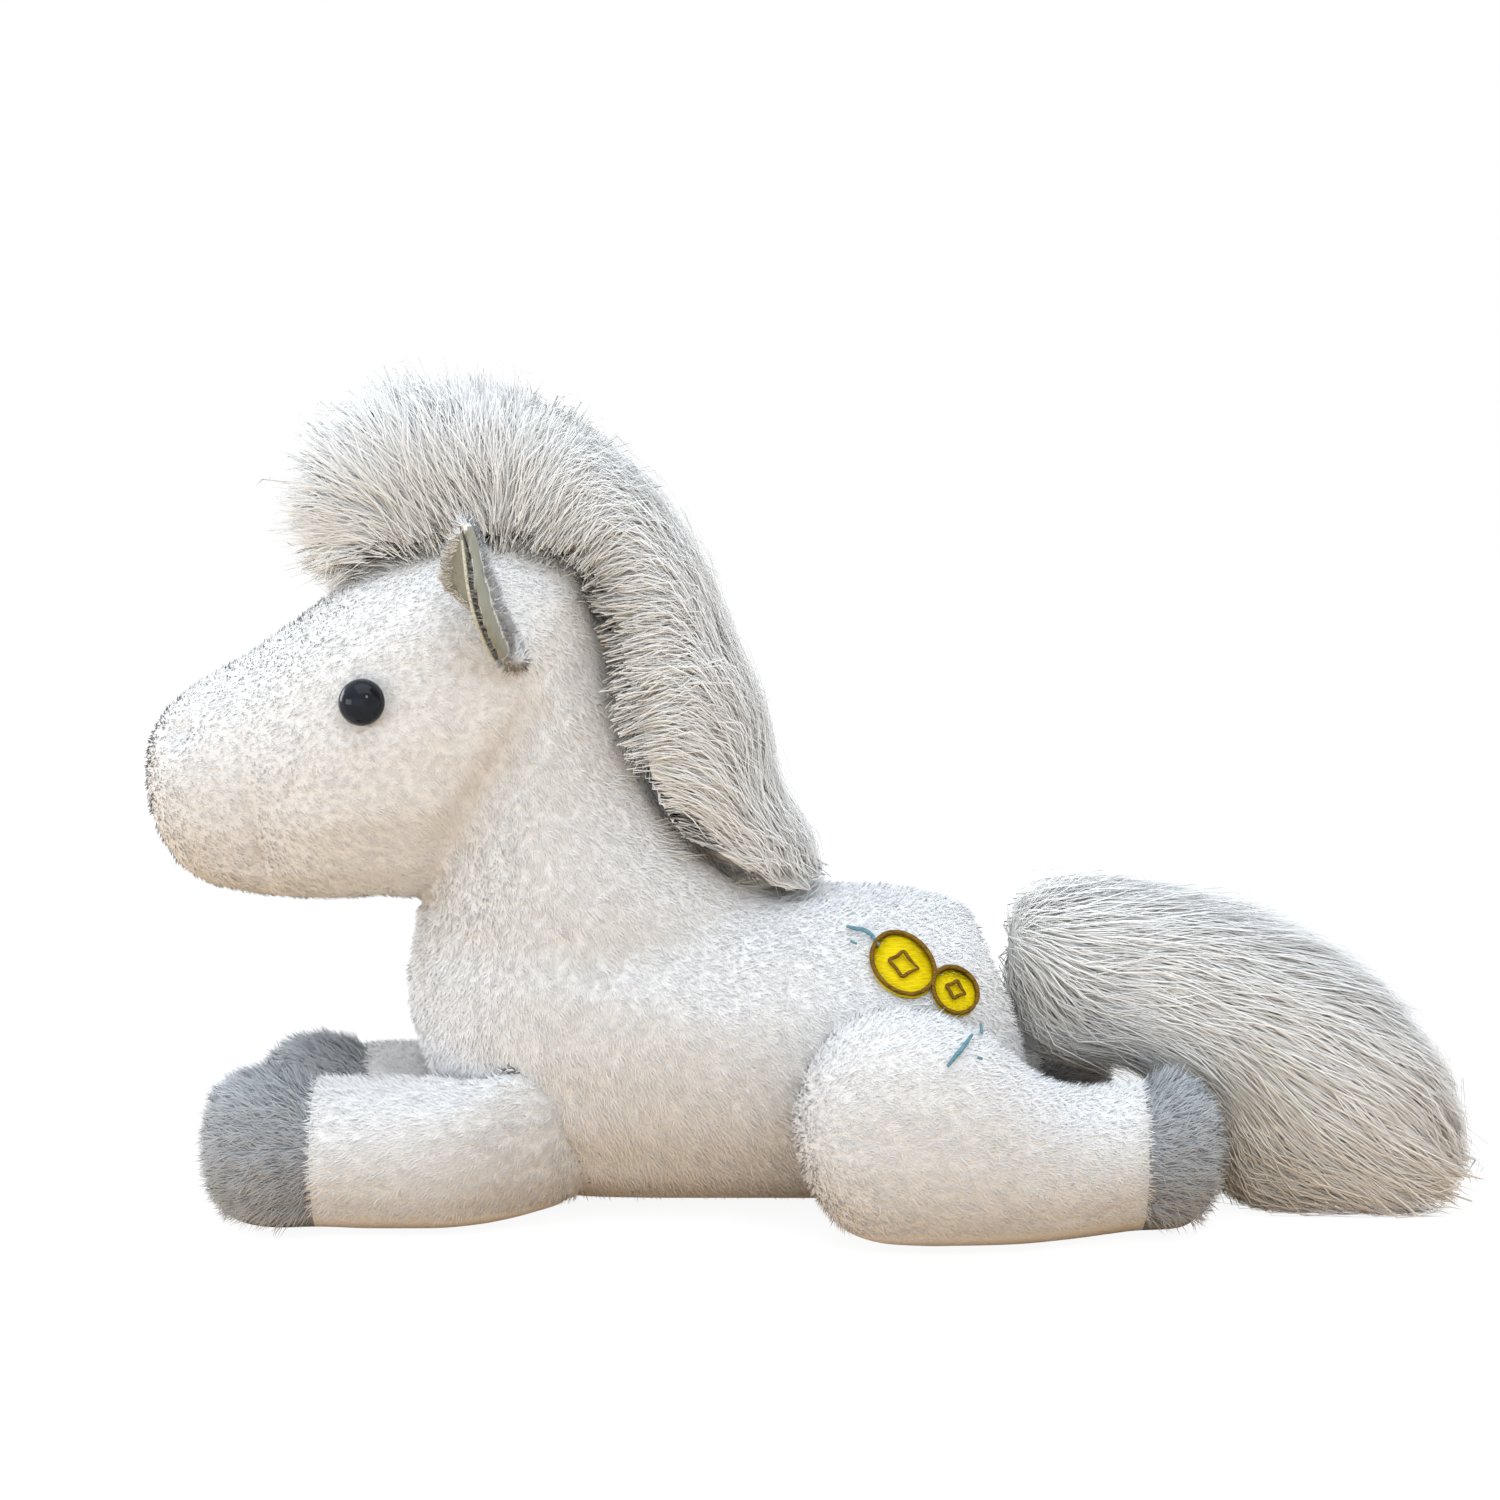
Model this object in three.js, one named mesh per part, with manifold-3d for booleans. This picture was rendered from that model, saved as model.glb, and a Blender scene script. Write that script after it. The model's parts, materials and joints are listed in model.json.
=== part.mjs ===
// A stuffed plush pony that lies on its belly, head to -X, its left side to -Y.
// Millimetres, +Z up. The floor is z = 0 and the origin is the middle of its footprint.
// Each skin is a sewn shell of plush with a wad of fibre inside it. The skins of one limb meet
// at their seams, and what flexes at a seam has a group that sits on the line it flexes about.
import * as THREE from "three";
import { mergeVertices } from "three/addons/utils/BufferGeometryUtils.js";
import Module from "manifold-3d";

const wasm = await Module();
wasm.setup();

// Cloth, seams and floor
const plushThickness = 3; // backing cloth with its pile
const seamGap = 0.3; // between two pieces that lie against each other
const floorSettle = 0.5; // how far a soft form goes flat on the floor
const cutReach = 500; // overrun of every cut
const weldDistance = 1e-4; // vertices nearer than this are one

// Trunk: a barrel from chest to rump
const trunkLength = 170;
const trunkHeight = 87.5;
const trunkWidth = 92;
// along, top, bottom, half width
const trunkShares = [
  [-0.612, 0.676, 0.676, 0],
  [-0.606, 0.777, 0.575, 0.2],
  [-0.591, 0.844, 0.497, 0.37],
  [-0.565, 0.899, 0.385, 0.56],
  [-0.518, 0.955, 0.218, 0.75],
  [-0.447, 1.0, 0.084, 0.88],
  [-0.353, 1.022, 0.011, 0.95],
  [-0.235, 1.028, 0, 0.98],
  [-0.088, 1.011, 0, 0.99],
  [0.071, 1.0, 0, 1.0],
  [0.176, 0.992, 0, 1.0],
  [0.241, 0.966, 0.011, 0.96],
  [0.3, 0.914, 0.073, 0.85],
  [0.341, 0.832, 0.173, 0.68],
  [0.371, 0.709, 0.296, 0.47],
  [0.387, 0.587, 0.385, 0.24],
  [0.39, 0.486, 0.486, 0],
];

// Neck: rises from the shoulders and bends forward to the head's seam
const neckDepth = 106;
const neckRise = 126;
const neckWidth = 76;
const neckAlongShare = -0.3; // of trunkLength
const neckHeightShare = 0.489; // of trunkHeight
// front x, front z, rear x, rear z, half width
const neckShares = [
  [0.03, -0.05, 0.03, -0.05, 0],
  [-0.39, -0.03, 0.48, 0.06, 0.76],
  [-0.47, 0.09, 0.52, 0.27, 0.98],
  [-0.49, 0.19, 0.42, 0.4, 1.0],
  [-0.48, 0.27, 0.29, 0.505, 0.95],
  [-0.435, 0.335, 0.19, 0.63, 0.9],
  [-0.4, 0.385, 0.12, 0.775, 0.87],
  [-0.39, 0.44, 0.07, 0.92, 0.86],
  [-0.4, 0.51, 0.01, 1.03, 0.8],
  [-0.2, 0.8, -0.2, 0.8, 0],
];

// Head: throat and poll to the tip of the muzzle, measured from the throat
const headLength = 77;
const headHeight = 97;
const headWidth = 81;
const throatAlongShare = -0.415; // of neckDepth, from the foot of the neck
const throatHeightShare = 0.333; // of neckRise
const neckSeamTilt = THREE.MathUtils.degToRad(30); // the seam's normal above the horizontal
const muzzleSeamShare = 0.535; // of headLength
const muzzleSeamTilt = THREE.MathUtils.degToRad(7);
// top x, top z, under x, under z, half width
const headShares = [
  [0.38, 0.41, 0.38, 0.41, 0],
  [0.7, 0.81, 0.09, -0.025, 0.8],
  [0.48, 0.962, -0.05, -0.035, 0.93],
  [0.22, 0.998, -0.19, -0.046, 1.0],
  [-0.05, 0.943, -0.333, -0.05, 0.99],
  [-0.277, 0.866, -0.45, -0.044, 0.92],
  [-0.46, 0.754, -0.55, -0.038, 0.81],
  [-0.615, 0.668, -0.654, -0.022, 0.715],
  [-0.756, 0.607, -0.763, -0.003, 0.66],
  [-0.872, 0.556, -0.865, 0.038, 0.605],
  [-0.949, 0.492, -0.94, 0.106, 0.49],
  [-0.99, 0.418, -0.987, 0.211, 0.3],
  [-1.003, 0.314, -1.003, 0.314, 0],
];

// Mane: long pile from the forelock over the crown and down the back of the neck
const maneReach = 126;
const maneRise = 130.5;
const maneWidth = 71;
// outer x, outer z, root x, root z, half width
const maneShares = [
  [-0.19, 0.645, -0.19, 0.645, 0],
  [-0.246, 0.69, -0.135, 0.61, 0.34],
  [-0.262, 0.78, -0.087, 0.625, 0.54],
  [-0.23, 0.877, -0.04, 0.648, 0.67],
  [-0.15, 0.955, 0.016, 0.67, 0.74],
  [-0.048, 0.999, 0.071, 0.686, 0.77],
  [0.056, 1.0, 0.135, 0.693, 0.8],
  [0.183, 0.985, 0.198, 0.686, 0.83],
  [0.31, 0.943, 0.262, 0.655, 0.88],
  [0.42, 0.866, 0.31, 0.6, 0.94],
  [0.516, 0.77, 0.341, 0.533, 0.985],
  [0.583, 0.663, 0.355, 0.448, 1.0],
  [0.635, 0.525, 0.35, 0.356, 1.02],
  [0.68, 0.425, 0.36, 0.264, 1.03],
  [0.715, 0.31, 0.38, 0.172, 1.0],
  [0.735, 0.218, 0.42, 0.096, 0.93],
  [0.778, 0.134, 0.48, 0.027, 0.82],
  [0.825, 0.065, 0.59, -0.02, 0.62],
  [0.83, 0.0, 0.83, 0.0, 0],
];

// Ears: a cupped leaf of plush with a smooth lining, folded at a sewn roll
const earLength = 36;
const earWidth = 25;
const earThickness = 2.6;
const earLiningThickness = 1;
const earCup = 6; // how far the rims stand in front of the midrib
const earLean = THREE.MathUtils.degToRad(46); // from the seam line to the midrib
const earRollRadius = 2.6;
const earRollLength = 17;
const earRollLift = 0.5; // the roll's axis above the head's skin
const earLiningMargin = 1.6; // bare plush round the lining
const earAlongShare = 0.295; // of headLength, behind the throat
const earHeightShare = 0.7; // of headHeight, above the throat
const earFacing = new THREE.Vector3(-0.86, -0.3, -0.41).normalize(); // the way the lining looks
// share of the ear's half width, from seam to tip
const earOutlineShares = [0.66, 0.86, 0.99, 0.97, 0.84, 0.62, 0.34, 0.07];
const earCupStartShare = 0.08; // of half a wave: the seam end is a little cupped already
const earSquareShare = 0.5; // of earLength, where the leaf's rows stand square to its midrib
const earLeastSpreadShare = 1 / 3; // of the half width, kept where a margin narrows the leaf

// Eyes: a domed button on a stem, held by a washer inside the head
const eyeRadius = 6;
const eyeDome = 4.6;
const eyeRim = 0.9;
const eyeSeatDepth = 0.7;
const eyeStemRadius = 2.1;
const eyeStemLength = 13;
const eyeStemTaper = 0.8;
const washerRadius = 7.5;
const washerThickness = 1.2;
const washerHubRadius = 4;
const washerHubHeight = 2.4;
const washerInset = 1.2; // a flat washer inside a round cheek touches at its rim first
const eyeAlongShare = -0.165; // of headLength
const eyeHeightShare = 0.536; // of headHeight

// Legs: a tube with a cap of grey plush for its hoof
const foreLength = 112;
const foreHeight = 45.5;
const foreWidth = 41;
const foreSpread = 34; // from the middle plane to the hoof's middle
const foreAlongShare = -0.341; // of trunkLength: the seam that it flexes about
const foreSplay = THREE.MathUtils.degToRad(20);
const foreHoofShare = 0.565; // of foreLength, from the flex line to the hoof's seam
const rightForeSetback = 5;
const rightForeToeIn = THREE.MathUtils.degToRad(8);
const rightForeHeightShare = 0.93; // of foreHeight: it lies flatter than the left one
// along, top, bottom, half width, sideways
const foreShares = [
  [-0.843, 0.5, 0.5, 0, 0],
  [-0.833, 0.68, 0.3, 0.34, 0],
  [-0.808, 0.85, 0.14, 0.66, 0],
  [-0.76, 0.965, 0.035, 0.9, 0],
  [-0.69, 1.0, 0, 1.0, 0],
  [-0.62, 0.985, 0, 1.0, 0],
  [-0.565, 0.935, 0.01, 0.95, 0],
  [-0.48, 0.94, 0, 0.96, 0],
  [-0.36, 0.95, 0, 0.98, 0],
  [-0.22, 1.02, 0, 1.0, 0.05],
  [-0.08, 1.18, 0.03, 1.0, 0.12],
  [0.05, 1.22, 0.12, 0.9, 0.2],
  [0.13, 1.05, 0.28, 0.62, 0.25],
  [0.165, 0.85, 0.45, 0.34, 0.25],
  [0.175, 0.66, 0.66, 0, 0.25],
];

const hindLength = 116;
const hindHeight = 65.5;
const hindWidth = 46;
const hindSpread = 52; // from the middle plane to the thigh's middle
const hindToeIn = 15; // the hoof lies this much nearer the middle than the thigh
const hindAlongShare = 0.071; // of trunkLength
const hindFlexInset = 6; // the flex line lies this far inside the thigh's middle
const hindSplay = THREE.MathUtils.degToRad(15);
const hindHoofShare = 0.672; // of hindLength
const rightHindAdvance = 20;
// along, top, bottom, half width, sideways
const hindShares = [
  [-0.12, 0.53, 0.53, 0, -0.1],
  [-0.112, 0.64, 0.41, 0.3, -0.08],
  [-0.09, 0.74, 0.27, 0.56, -0.05],
  [-0.045, 0.86, 0.13, 0.8, 0],
  [0.04, 0.965, 0.02, 0.95, 0],
  [0.16, 1.0, 0, 1.0, 0],
  [0.29, 0.95, 0, 1.0, 0.05],
  [0.4, 0.77, 0, 0.97, 0.2],
  [0.5, 0.655, 0, 0.92, 0.45],
  [0.6, 0.645, 0, 0.89, 0.75],
  [0.672, 0.655, 0.01, 0.86, 0.92],
  [0.72, 0.685, 0, 0.9, 1.0],
  [0.78, 0.67, 0.01, 0.86, 1.0],
  [0.83, 0.59, 0.08, 0.68, 1.0],
  [0.86, 0.47, 0.2, 0.38, 1.0],
  [0.868, 0.35, 0.35, 0, 1.0],
];

// Tail: a round root in a hollow of the rump, then a full brush that comes down to the floor
const tailRootRadius = 25;
const tailSocketDepth = 17;
const tailRootHeightShare = 0.737; // of trunkHeight
const tailMouthRadius = 12;
const tailLift = THREE.MathUtils.degToRad(50);
const tailLength = 103;
const tailDrop = 64.5; // from the root's middle to the underside on the floor
const tailWidth = 66;
// top x, top z, under x, under z, half width
const tailShares = [
  [-0.04, 0, -0.04, 0, 0],
  [0.0, 0.3, -0.02, -0.3, 0.57],
  [0.095, 0.385, 0.075, -0.36, 0.76],
  [0.2, 0.33, 0.16, -0.48, 0.85],
  [0.345, 0.275, 0.23, -0.63, 0.91],
  [0.5, 0.195, 0.31, -0.81, 0.97],
  [0.63, 0.095, 0.415, -0.96, 1.0],
  [0.745, -0.035, 0.56, -1.0, 1.0],
  [0.84, -0.15, 0.705, -1.0, 0.94],
  [0.92, -0.3, 0.83, -1.0, 0.82],
  [0.972, -0.49, 0.915, -0.96, 0.61],
  [0.992, -0.66, 0.968, -0.86, 0.33],
  [0.997, -0.77, 0.997, -0.77, 0],
];

// Rings: 1 makes an oval, and less makes it squarer
const bodyRoundShare = 0.909;
const headRoundShare = 0.833;
const limbRoundShare = 0.909;
const crestRoundShare = 0.769;

// Facets: rings for each row of a form, and sides round each kind of piece
const ringsPerRow = 1.15;
const bodySides = 16;
const limbSides = 14;
const hiddenSides = 8;
const ballSides = 16;
const eyeSides = 16;
const domeRings = 5;
const washerSides = 12;
const rollSides = 14;
const earRows = 10;
const earColumns = 6;
const sweepSteps = 4;

const white = cloth(0xf1f0ec, 0.95);
const longWhite = cloth(0xe9e6da, 1);
const grey = cloth(0xa3a9ab, 0.95);
const satin = cloth(0xb9bba2, 0.7);
const fibre = cloth(0xfafafa, 1);
const glossBlack = new THREE.MeshStandardMaterial({ color: 0x0b0d12, roughness: 0.12, metalness: 0 });
const washerPlastic = new THREE.MeshStandardMaterial({ color: 0xe4e4e0, roughness: 0.5, metalness: 0 });

function cloth(color, roughness) {
  return new THREE.MeshStandardMaterial({ color, roughness, metalness: 0 });
}

// Solids and geometries

function solidFrom(geometry) {
  const bare = geometry.clone();
  bare.deleteAttribute("normal");
  bare.deleteAttribute("uv");
  const merged = mergeVertices(bare, weldDistance);
  return new wasm.Manifold(
    new wasm.Mesh({
      numProp: 3,
      vertProperties: Float32Array.from(merged.attributes.position.array),
      triVerts: Uint32Array.from(merged.index.array),
    }),
  );
}

function geometryFrom(solid) {
  const mesh = solid.getMesh();
  const geometry = new THREE.BufferGeometry();
  geometry.setAttribute("position", new THREE.BufferAttribute(mesh.vertProperties, 3));
  geometry.setIndex(new THREE.BufferAttribute(mesh.triVerts, 1));
  return geometry;
}

// A cut can leave crumbs beside the piece. The piece is the largest of what is left.
function largestOf(solid) {
  return solid.decompose().reduce((a, b) => (a.volume() > b.volume() ? a : b));
}

function cut(solid, ...cutters) {
  return cutters.reduce((left, cutter) => left.subtract(cutter), solid);
}

// Everything on the side of a plane that its normal points to.
function halfSpace(point, normal) {
  const block = new THREE.BoxGeometry(cutReach, cutReach, cutReach);
  block.translate(cutReach / 2, 0, 0);
  block.applyQuaternion(
    new THREE.Quaternion().setFromUnitVectors(new THREE.Vector3(1, 0, 0), normal),
  );
  return solidFrom(block.translate(point.x, point.y, point.z));
}

const down = new THREE.Vector3(0, 0, -1);
const underFloor = halfSpace(new THREE.Vector3(0, 0, 0), down);

// Stuffed forms

// Rows of {upper, lower, half, side} make a closed skin of oval rings between two poles.
// swell moves the skin out along its normals, or in when it is negative.
function stuffedForm(rows, sides, roundShare, swell = 0) {
  const smooth = (points) => new THREE.CatmullRomCurve3(points, false, "catmullrom", 0.5);
  const upper = smooth(rows.map((row) => row.upper));
  const lower = smooth(rows.map((row) => row.lower));
  const breadth = smooth(rows.map((row) => new THREE.Vector3(row.half, row.side, 0)));
  const ringCount = Math.round((rows.length - 1) * ringsPerRow);
  const bulge = (value) => Math.sign(value) * Math.abs(value) ** roundShare;
  const positions = [];
  for (let ring = 1; ring < ringCount; ring++) {
    const top = upper.getPoint(ring / ringCount);
    const bottom = lower.getPoint(ring / ringCount);
    const { x: half, y: side } = breadth.getPoint(ring / ringCount);
    const middle = top.clone().add(bottom).multiplyScalar(0.5);
    const rise = top.clone().sub(middle);
    for (let k = 0; k < sides; k++) {
      const angle = (2 * Math.PI * k) / sides;
      const point = middle.clone().addScaledVector(rise, bulge(Math.cos(angle)));
      point.y += side + half * bulge(Math.sin(angle));
      positions.push(point.x, point.y, point.z);
    }
  }
  const firstPole = positions.length / 3;
  const [first, last] = [rows[0], rows.at(-1)];
  positions.push(first.upper.x, first.side, first.upper.z, last.upper.x, last.side, last.upper.z);
  const lastPole = firstPole + 1;
  const at = (ring, k) => (ring - 1) * sides + (k % sides);
  const index = [];
  for (let k = 0; k < sides; k++) {
    index.push(firstPole, at(1, k), at(1, k + 1));
    index.push(lastPole, at(ringCount - 1, k + 1), at(ringCount - 1, k));
    for (let ring = 1; ring < ringCount - 1; ring++) {
      index.push(at(ring, k), at(ring + 1, k), at(ring + 1, k + 1));
      index.push(at(ring, k), at(ring + 1, k + 1), at(ring, k + 1));
    }
  }
  const geometry = new THREE.BufferGeometry();
  geometry.setAttribute("position", new THREE.Float32BufferAttribute(positions, 3));
  geometry.setIndex(index);
  turnOutward(geometry);
  geometry.computeVertexNormals();
  const { position, normal } = geometry.attributes;
  for (let i = 0; i < position.count; i++) {
    position.setXYZ(
      i,
      position.getX(i) + swell * normal.getX(i),
      position.getY(i) + swell * normal.getY(i),
      position.getZ(i) + swell * normal.getZ(i),
    );
  }
  return geometry;
}

// Turns a closed geometry's faces outward if they point in.
function turnOutward(geometry) {
  const { position } = geometry.attributes;
  const index = geometry.index.array;
  const [a, b, c] = [new THREE.Vector3(), new THREE.Vector3(), new THREE.Vector3()];
  let sixVolumes = 0;
  for (let i = 0; i < index.length; i += 3) {
    a.fromBufferAttribute(position, index[i]);
    b.fromBufferAttribute(position, index[i + 1]);
    c.fromBufferAttribute(position, index[i + 2]);
    sixVolumes += a.dot(b.cross(c));
  }
  if (sixVolumes < 0) {
    for (let i = 0; i < index.length; i += 3) {
      [index[i + 1], index[i + 2]] = [index[i + 2], index[i + 1]];
    }
  }
}

// Straight forms name one place along, then top and bottom.
function straightRows(shares, length, height, width, toeIn = 0) {
  return shares.map(([along, top, bottom, half, side = 0]) => ({
    upper: new THREE.Vector3(along * length, 0, top * height),
    lower: new THREE.Vector3(along * length, 0, bottom * height),
    half: (half * width) / 2,
    side: side * toeIn,
  }));
}

// Bent forms name both ends of each ring.
function bentRows(shares, length, height, width) {
  return shares.map(([upperX, upperZ, lowerX, lowerZ, half]) => ({
    upper: new THREE.Vector3(upperX * length, 0, upperZ * height),
    lower: new THREE.Vector3(lowerX * length, 0, lowerZ * height),
    half: (half * width) / 2,
    side: 0,
  }));
}

const trunkRows = straightRows(trunkShares, trunkLength, trunkHeight, trunkWidth);
const neckRows = bentRows(neckShares, neckDepth, neckRise, neckWidth);
const headRows = bentRows(headShares, headLength, headHeight, headWidth);
const maneRows = bentRows(maneShares, maneReach, maneRise, maneWidth);
const tailRows = bentRows(tailShares, tailLength, tailDrop, tailWidth);
const foreRows = straightRows(foreShares, foreLength, foreHeight, foreWidth, foreWidth / 2);
const hindRows = straightRows(hindShares, hindLength, hindHeight, hindWidth, hindToeIn);

// Where each form is set

const neckFoot = new THREE.Vector3(
  neckAlongShare * trunkLength,
  0,
  neckHeightShare * trunkHeight,
);
const throat = new THREE.Vector3(
  neckFoot.x + throatAlongShare * neckDepth,
  0,
  neckFoot.z + throatHeightShare * neckRise,
);
const rumpEnd = trunkShares.at(-1)[0] * trunkLength;
const tailRoot = new THREE.Vector3(
  rumpEnd + tailRootRadius - tailSocketDepth,
  0,
  tailRootHeightShare * trunkHeight,
);
const tailFloorLift = tailRoot.z - tailDrop + floorSettle;

function formSolid(rows, place, sides, roundShare, swell) {
  const geometry = stuffedForm(rows, sides, roundShare, swell);
  return solidFrom(geometry.translate(place.x, place.y, place.z));
}

const onFloor = new THREE.Vector3(0, 0, -floorSettle);
const trunk = (swell, sides = bodySides) =>
  formSolid(trunkRows, onFloor, sides, bodyRoundShare, swell);
const neck = (swell, sides = bodySides) =>
  formSolid(neckRows, neckFoot, sides, limbRoundShare, swell);
const head = (swell, sides = bodySides) => formSolid(headRows, throat, sides, headRoundShare, swell);

// The seams of the head: its normal looks forward and up, and the muzzle's looks forward
const neckSeamNormal = new THREE.Vector3(-Math.cos(neckSeamTilt), 0, Math.sin(neckSeamTilt));
const neckSeamPoint = (gap) => throat.clone().addScaledVector(neckSeamNormal, gap);
const headSide = (gap) => halfSpace(neckSeamPoint(gap), neckSeamNormal);
const neckSide = (gap) => halfSpace(neckSeamPoint(gap), neckSeamNormal.clone().negate());
const muzzleSeam = new THREE.Vector3(throat.x - muzzleSeamShare * headLength, 0, throat.z);
const muzzleNormal = new THREE.Vector3(-Math.cos(muzzleSeamTilt), 0, -Math.sin(muzzleSeamTilt));
const muzzleSeamPoint = (gap) => muzzleSeam.clone().addScaledVector(muzzleNormal, gap);
const muzzleSide = (gap) => halfSpace(muzzleSeamPoint(gap), muzzleNormal);
const cheekSide = (gap) => halfSpace(muzzleSeamPoint(gap), muzzleNormal.clone().negate());

const halfGap = seamGap / 2;
const lining = -plushThickness;
const stuffingFit = -plushThickness - 2 * seamGap;

// Tail root: a ball in a hollow of the rump, so that the tail lifts without leaving its seam.
// Its poles lie on the line that the tail flexes about.
function ball(radius, place) {
  const geometry = new THREE.SphereGeometry(radius, ballSides, ballSides / 2);
  return solidFrom(geometry.translate(place.x, place.y, place.z));
}

// A ball whose facets all lie outside the radius, for a hollow that another ball turns in.
function hollow(radius, place) {
  return ball(radius / Math.cos(Math.PI / ballSides) ** 2, place);
}

// Trunk and neck

const trunkSkin = largestOf(
  cut(
    trunk(0),
    cut(trunk(lining, hiddenSides), hollow(tailRootRadius + seamGap + plushThickness, tailRoot)),
    hollow(tailRootRadius + seamGap, tailRoot),
    neck(lining, hiddenSides),
    underFloor,
  ),
);
const trunkStuffing = largestOf(
  cut(
    trunk(stuffingFit, hiddenSides),
    hollow(tailRootRadius + 2 * seamGap + plushThickness, tailRoot),
  ),
);
const neckSkin = largestOf(
  cut(neck(0), neck(lining, hiddenSides), trunk(seamGap), headSide(-halfGap)),
);
const neckStuffing = largestOf(
  cut(neck(stuffingFit, hiddenSides), trunk(lining, hiddenSides), headSide(-halfGap)),
);

// Head and muzzle, with the eyes let in to the cheeks

// The point of the head's left side at one place in side view, and the way the skin faces there,
// mirrored for the right side.
function onCheek(along, height, side) {
  const skin = new THREE.Mesh(
    stuffedForm(headRows, bodySides, headRoundShare),
    new THREE.MeshBasicMaterial(),
  );
  const from = new THREE.Vector3(along, -cutReach, height);
  const ray = new THREE.Raycaster(from, new THREE.Vector3(0, 1, 0));
  const hit = ray.intersectObject(skin)[0];
  const mirror = new THREE.Vector3(1, -side, 1);
  return { point: hit.point.multiply(mirror).add(throat), normal: hit.face.normal.multiply(mirror) };
}

function eyeProfile() {
  const dome = new THREE.EllipseCurve(0, eyeRim, eyeRadius, eyeDome, Math.PI / 2, 0, true);
  const domePoints = dome.getPoints(domeRings).map((p) => new THREE.Vector2(Math.max(p.x, 0), p.y));
  domePoints[0].x = 0;
  return [
    new THREE.Vector2(0, -eyeStemLength),
    new THREE.Vector2(eyeStemRadius - eyeStemTaper, -eyeStemLength),
    new THREE.Vector2(eyeStemRadius, -eyeStemLength + eyeStemTaper * 2),
    new THREE.Vector2(eyeStemRadius, 0),
    new THREE.Vector2(eyeRadius, 0),
    ...domePoints.reverse(),
  ];
}

// A washer with a short hub, pressed up the stem against the inside of the cheek.
function washerProfile() {
  const bore = eyeStemRadius + seamGap;
  return [
    new THREE.Vector2(bore, 0),
    new THREE.Vector2(bore, -washerHubHeight),
    new THREE.Vector2(washerHubRadius, -washerHubHeight),
    new THREE.Vector2(washerHubRadius, -washerThickness),
    new THREE.Vector2(washerRadius, -washerThickness),
    new THREE.Vector2(washerRadius, 0),
    new THREE.Vector2(bore, 0),
  ];
}

// Stands a shape that was turned about +Y on a seat, looking along the seat's normal.
function seated(geometry, seat, lift) {
  const turn = new THREE.Quaternion().setFromUnitVectors(new THREE.Vector3(0, 1, 0), seat.normal);
  const place = seat.point.clone().addScaledVector(seat.normal, lift);
  return geometry.applyQuaternion(turn).translate(place.x, place.y, place.z);
}

function rod(radius, from, to, seat, sides) {
  const geometry = new THREE.CylinderGeometry(radius, radius, to - from, sides);
  return solidFrom(seated(geometry, seat, (from + to) / 2));
}

const washerTop = -plushThickness - seamGap - washerInset;
const eyeSeats = [-1, 1].map((side) =>
  onCheek(eyeAlongShare * headLength, eyeHeightShare * headHeight, side),
);
const eyes = eyeSeats.map((seat) => {
  const button = new THREE.LatheGeometry(eyeProfile(), eyeSides);
  return solidFrom(seated(button, seat, seamGap - eyeSeatDepth));
});
const washers = eyeSeats.map((seat) =>
  solidFrom(seated(new THREE.LatheGeometry(washerProfile(), washerSides), seat, washerTop)),
);
const eyeRecesses = eyeSeats.flatMap((seat) => [
  rod(eyeRadius + seamGap, -eyeSeatDepth, eyeRadius, seat, eyeSides),
  rod(eyeStemRadius + seamGap, -eyeStemLength, eyeRadius, seat, washerSides),
  rod(washerRadius + seamGap, -eyeStemLength, washerTop + seamGap, seat, eyeSides),
]);
const stuffingReach = eyeStemLength + eyeSeatDepth + seamGap;
const stuffingRecesses = eyeSeats.map((seat) =>
  rod(washerRadius + seamGap, -stuffingReach, eyeRadius, seat, washerSides),
);

// Ears

// The ear's own axes: along its seam, out from the head in the ear's plane, and the way it faces.
function earFrame(side) {
  const seat = onCheek(earAlongShare * headLength, earHeightShare * headHeight, side);
  const facing = new THREE.Vector3(earFacing.x, -side * earFacing.y, earFacing.z);
  const seam = new THREE.Vector3().crossVectors(facing, seat.normal).normalize();
  if (seam.z < 0) seam.negate();
  const outward = seat.normal.clone().addScaledVector(facing, -facing.dot(seat.normal)).normalize();
  const place = seat.point.clone().addScaledVector(seat.normal, earRollLift);
  return { seam, outward, facing, place };
}

function intoEarFrame(geometry, frame) {
  const matrix = new THREE.Matrix4().makeBasis(frame.seam, frame.outward, frame.facing);
  geometry.applyMatrix4(matrix.setPosition(frame.place));
  turnOutward(geometry);
  return geometry;
}

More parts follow.
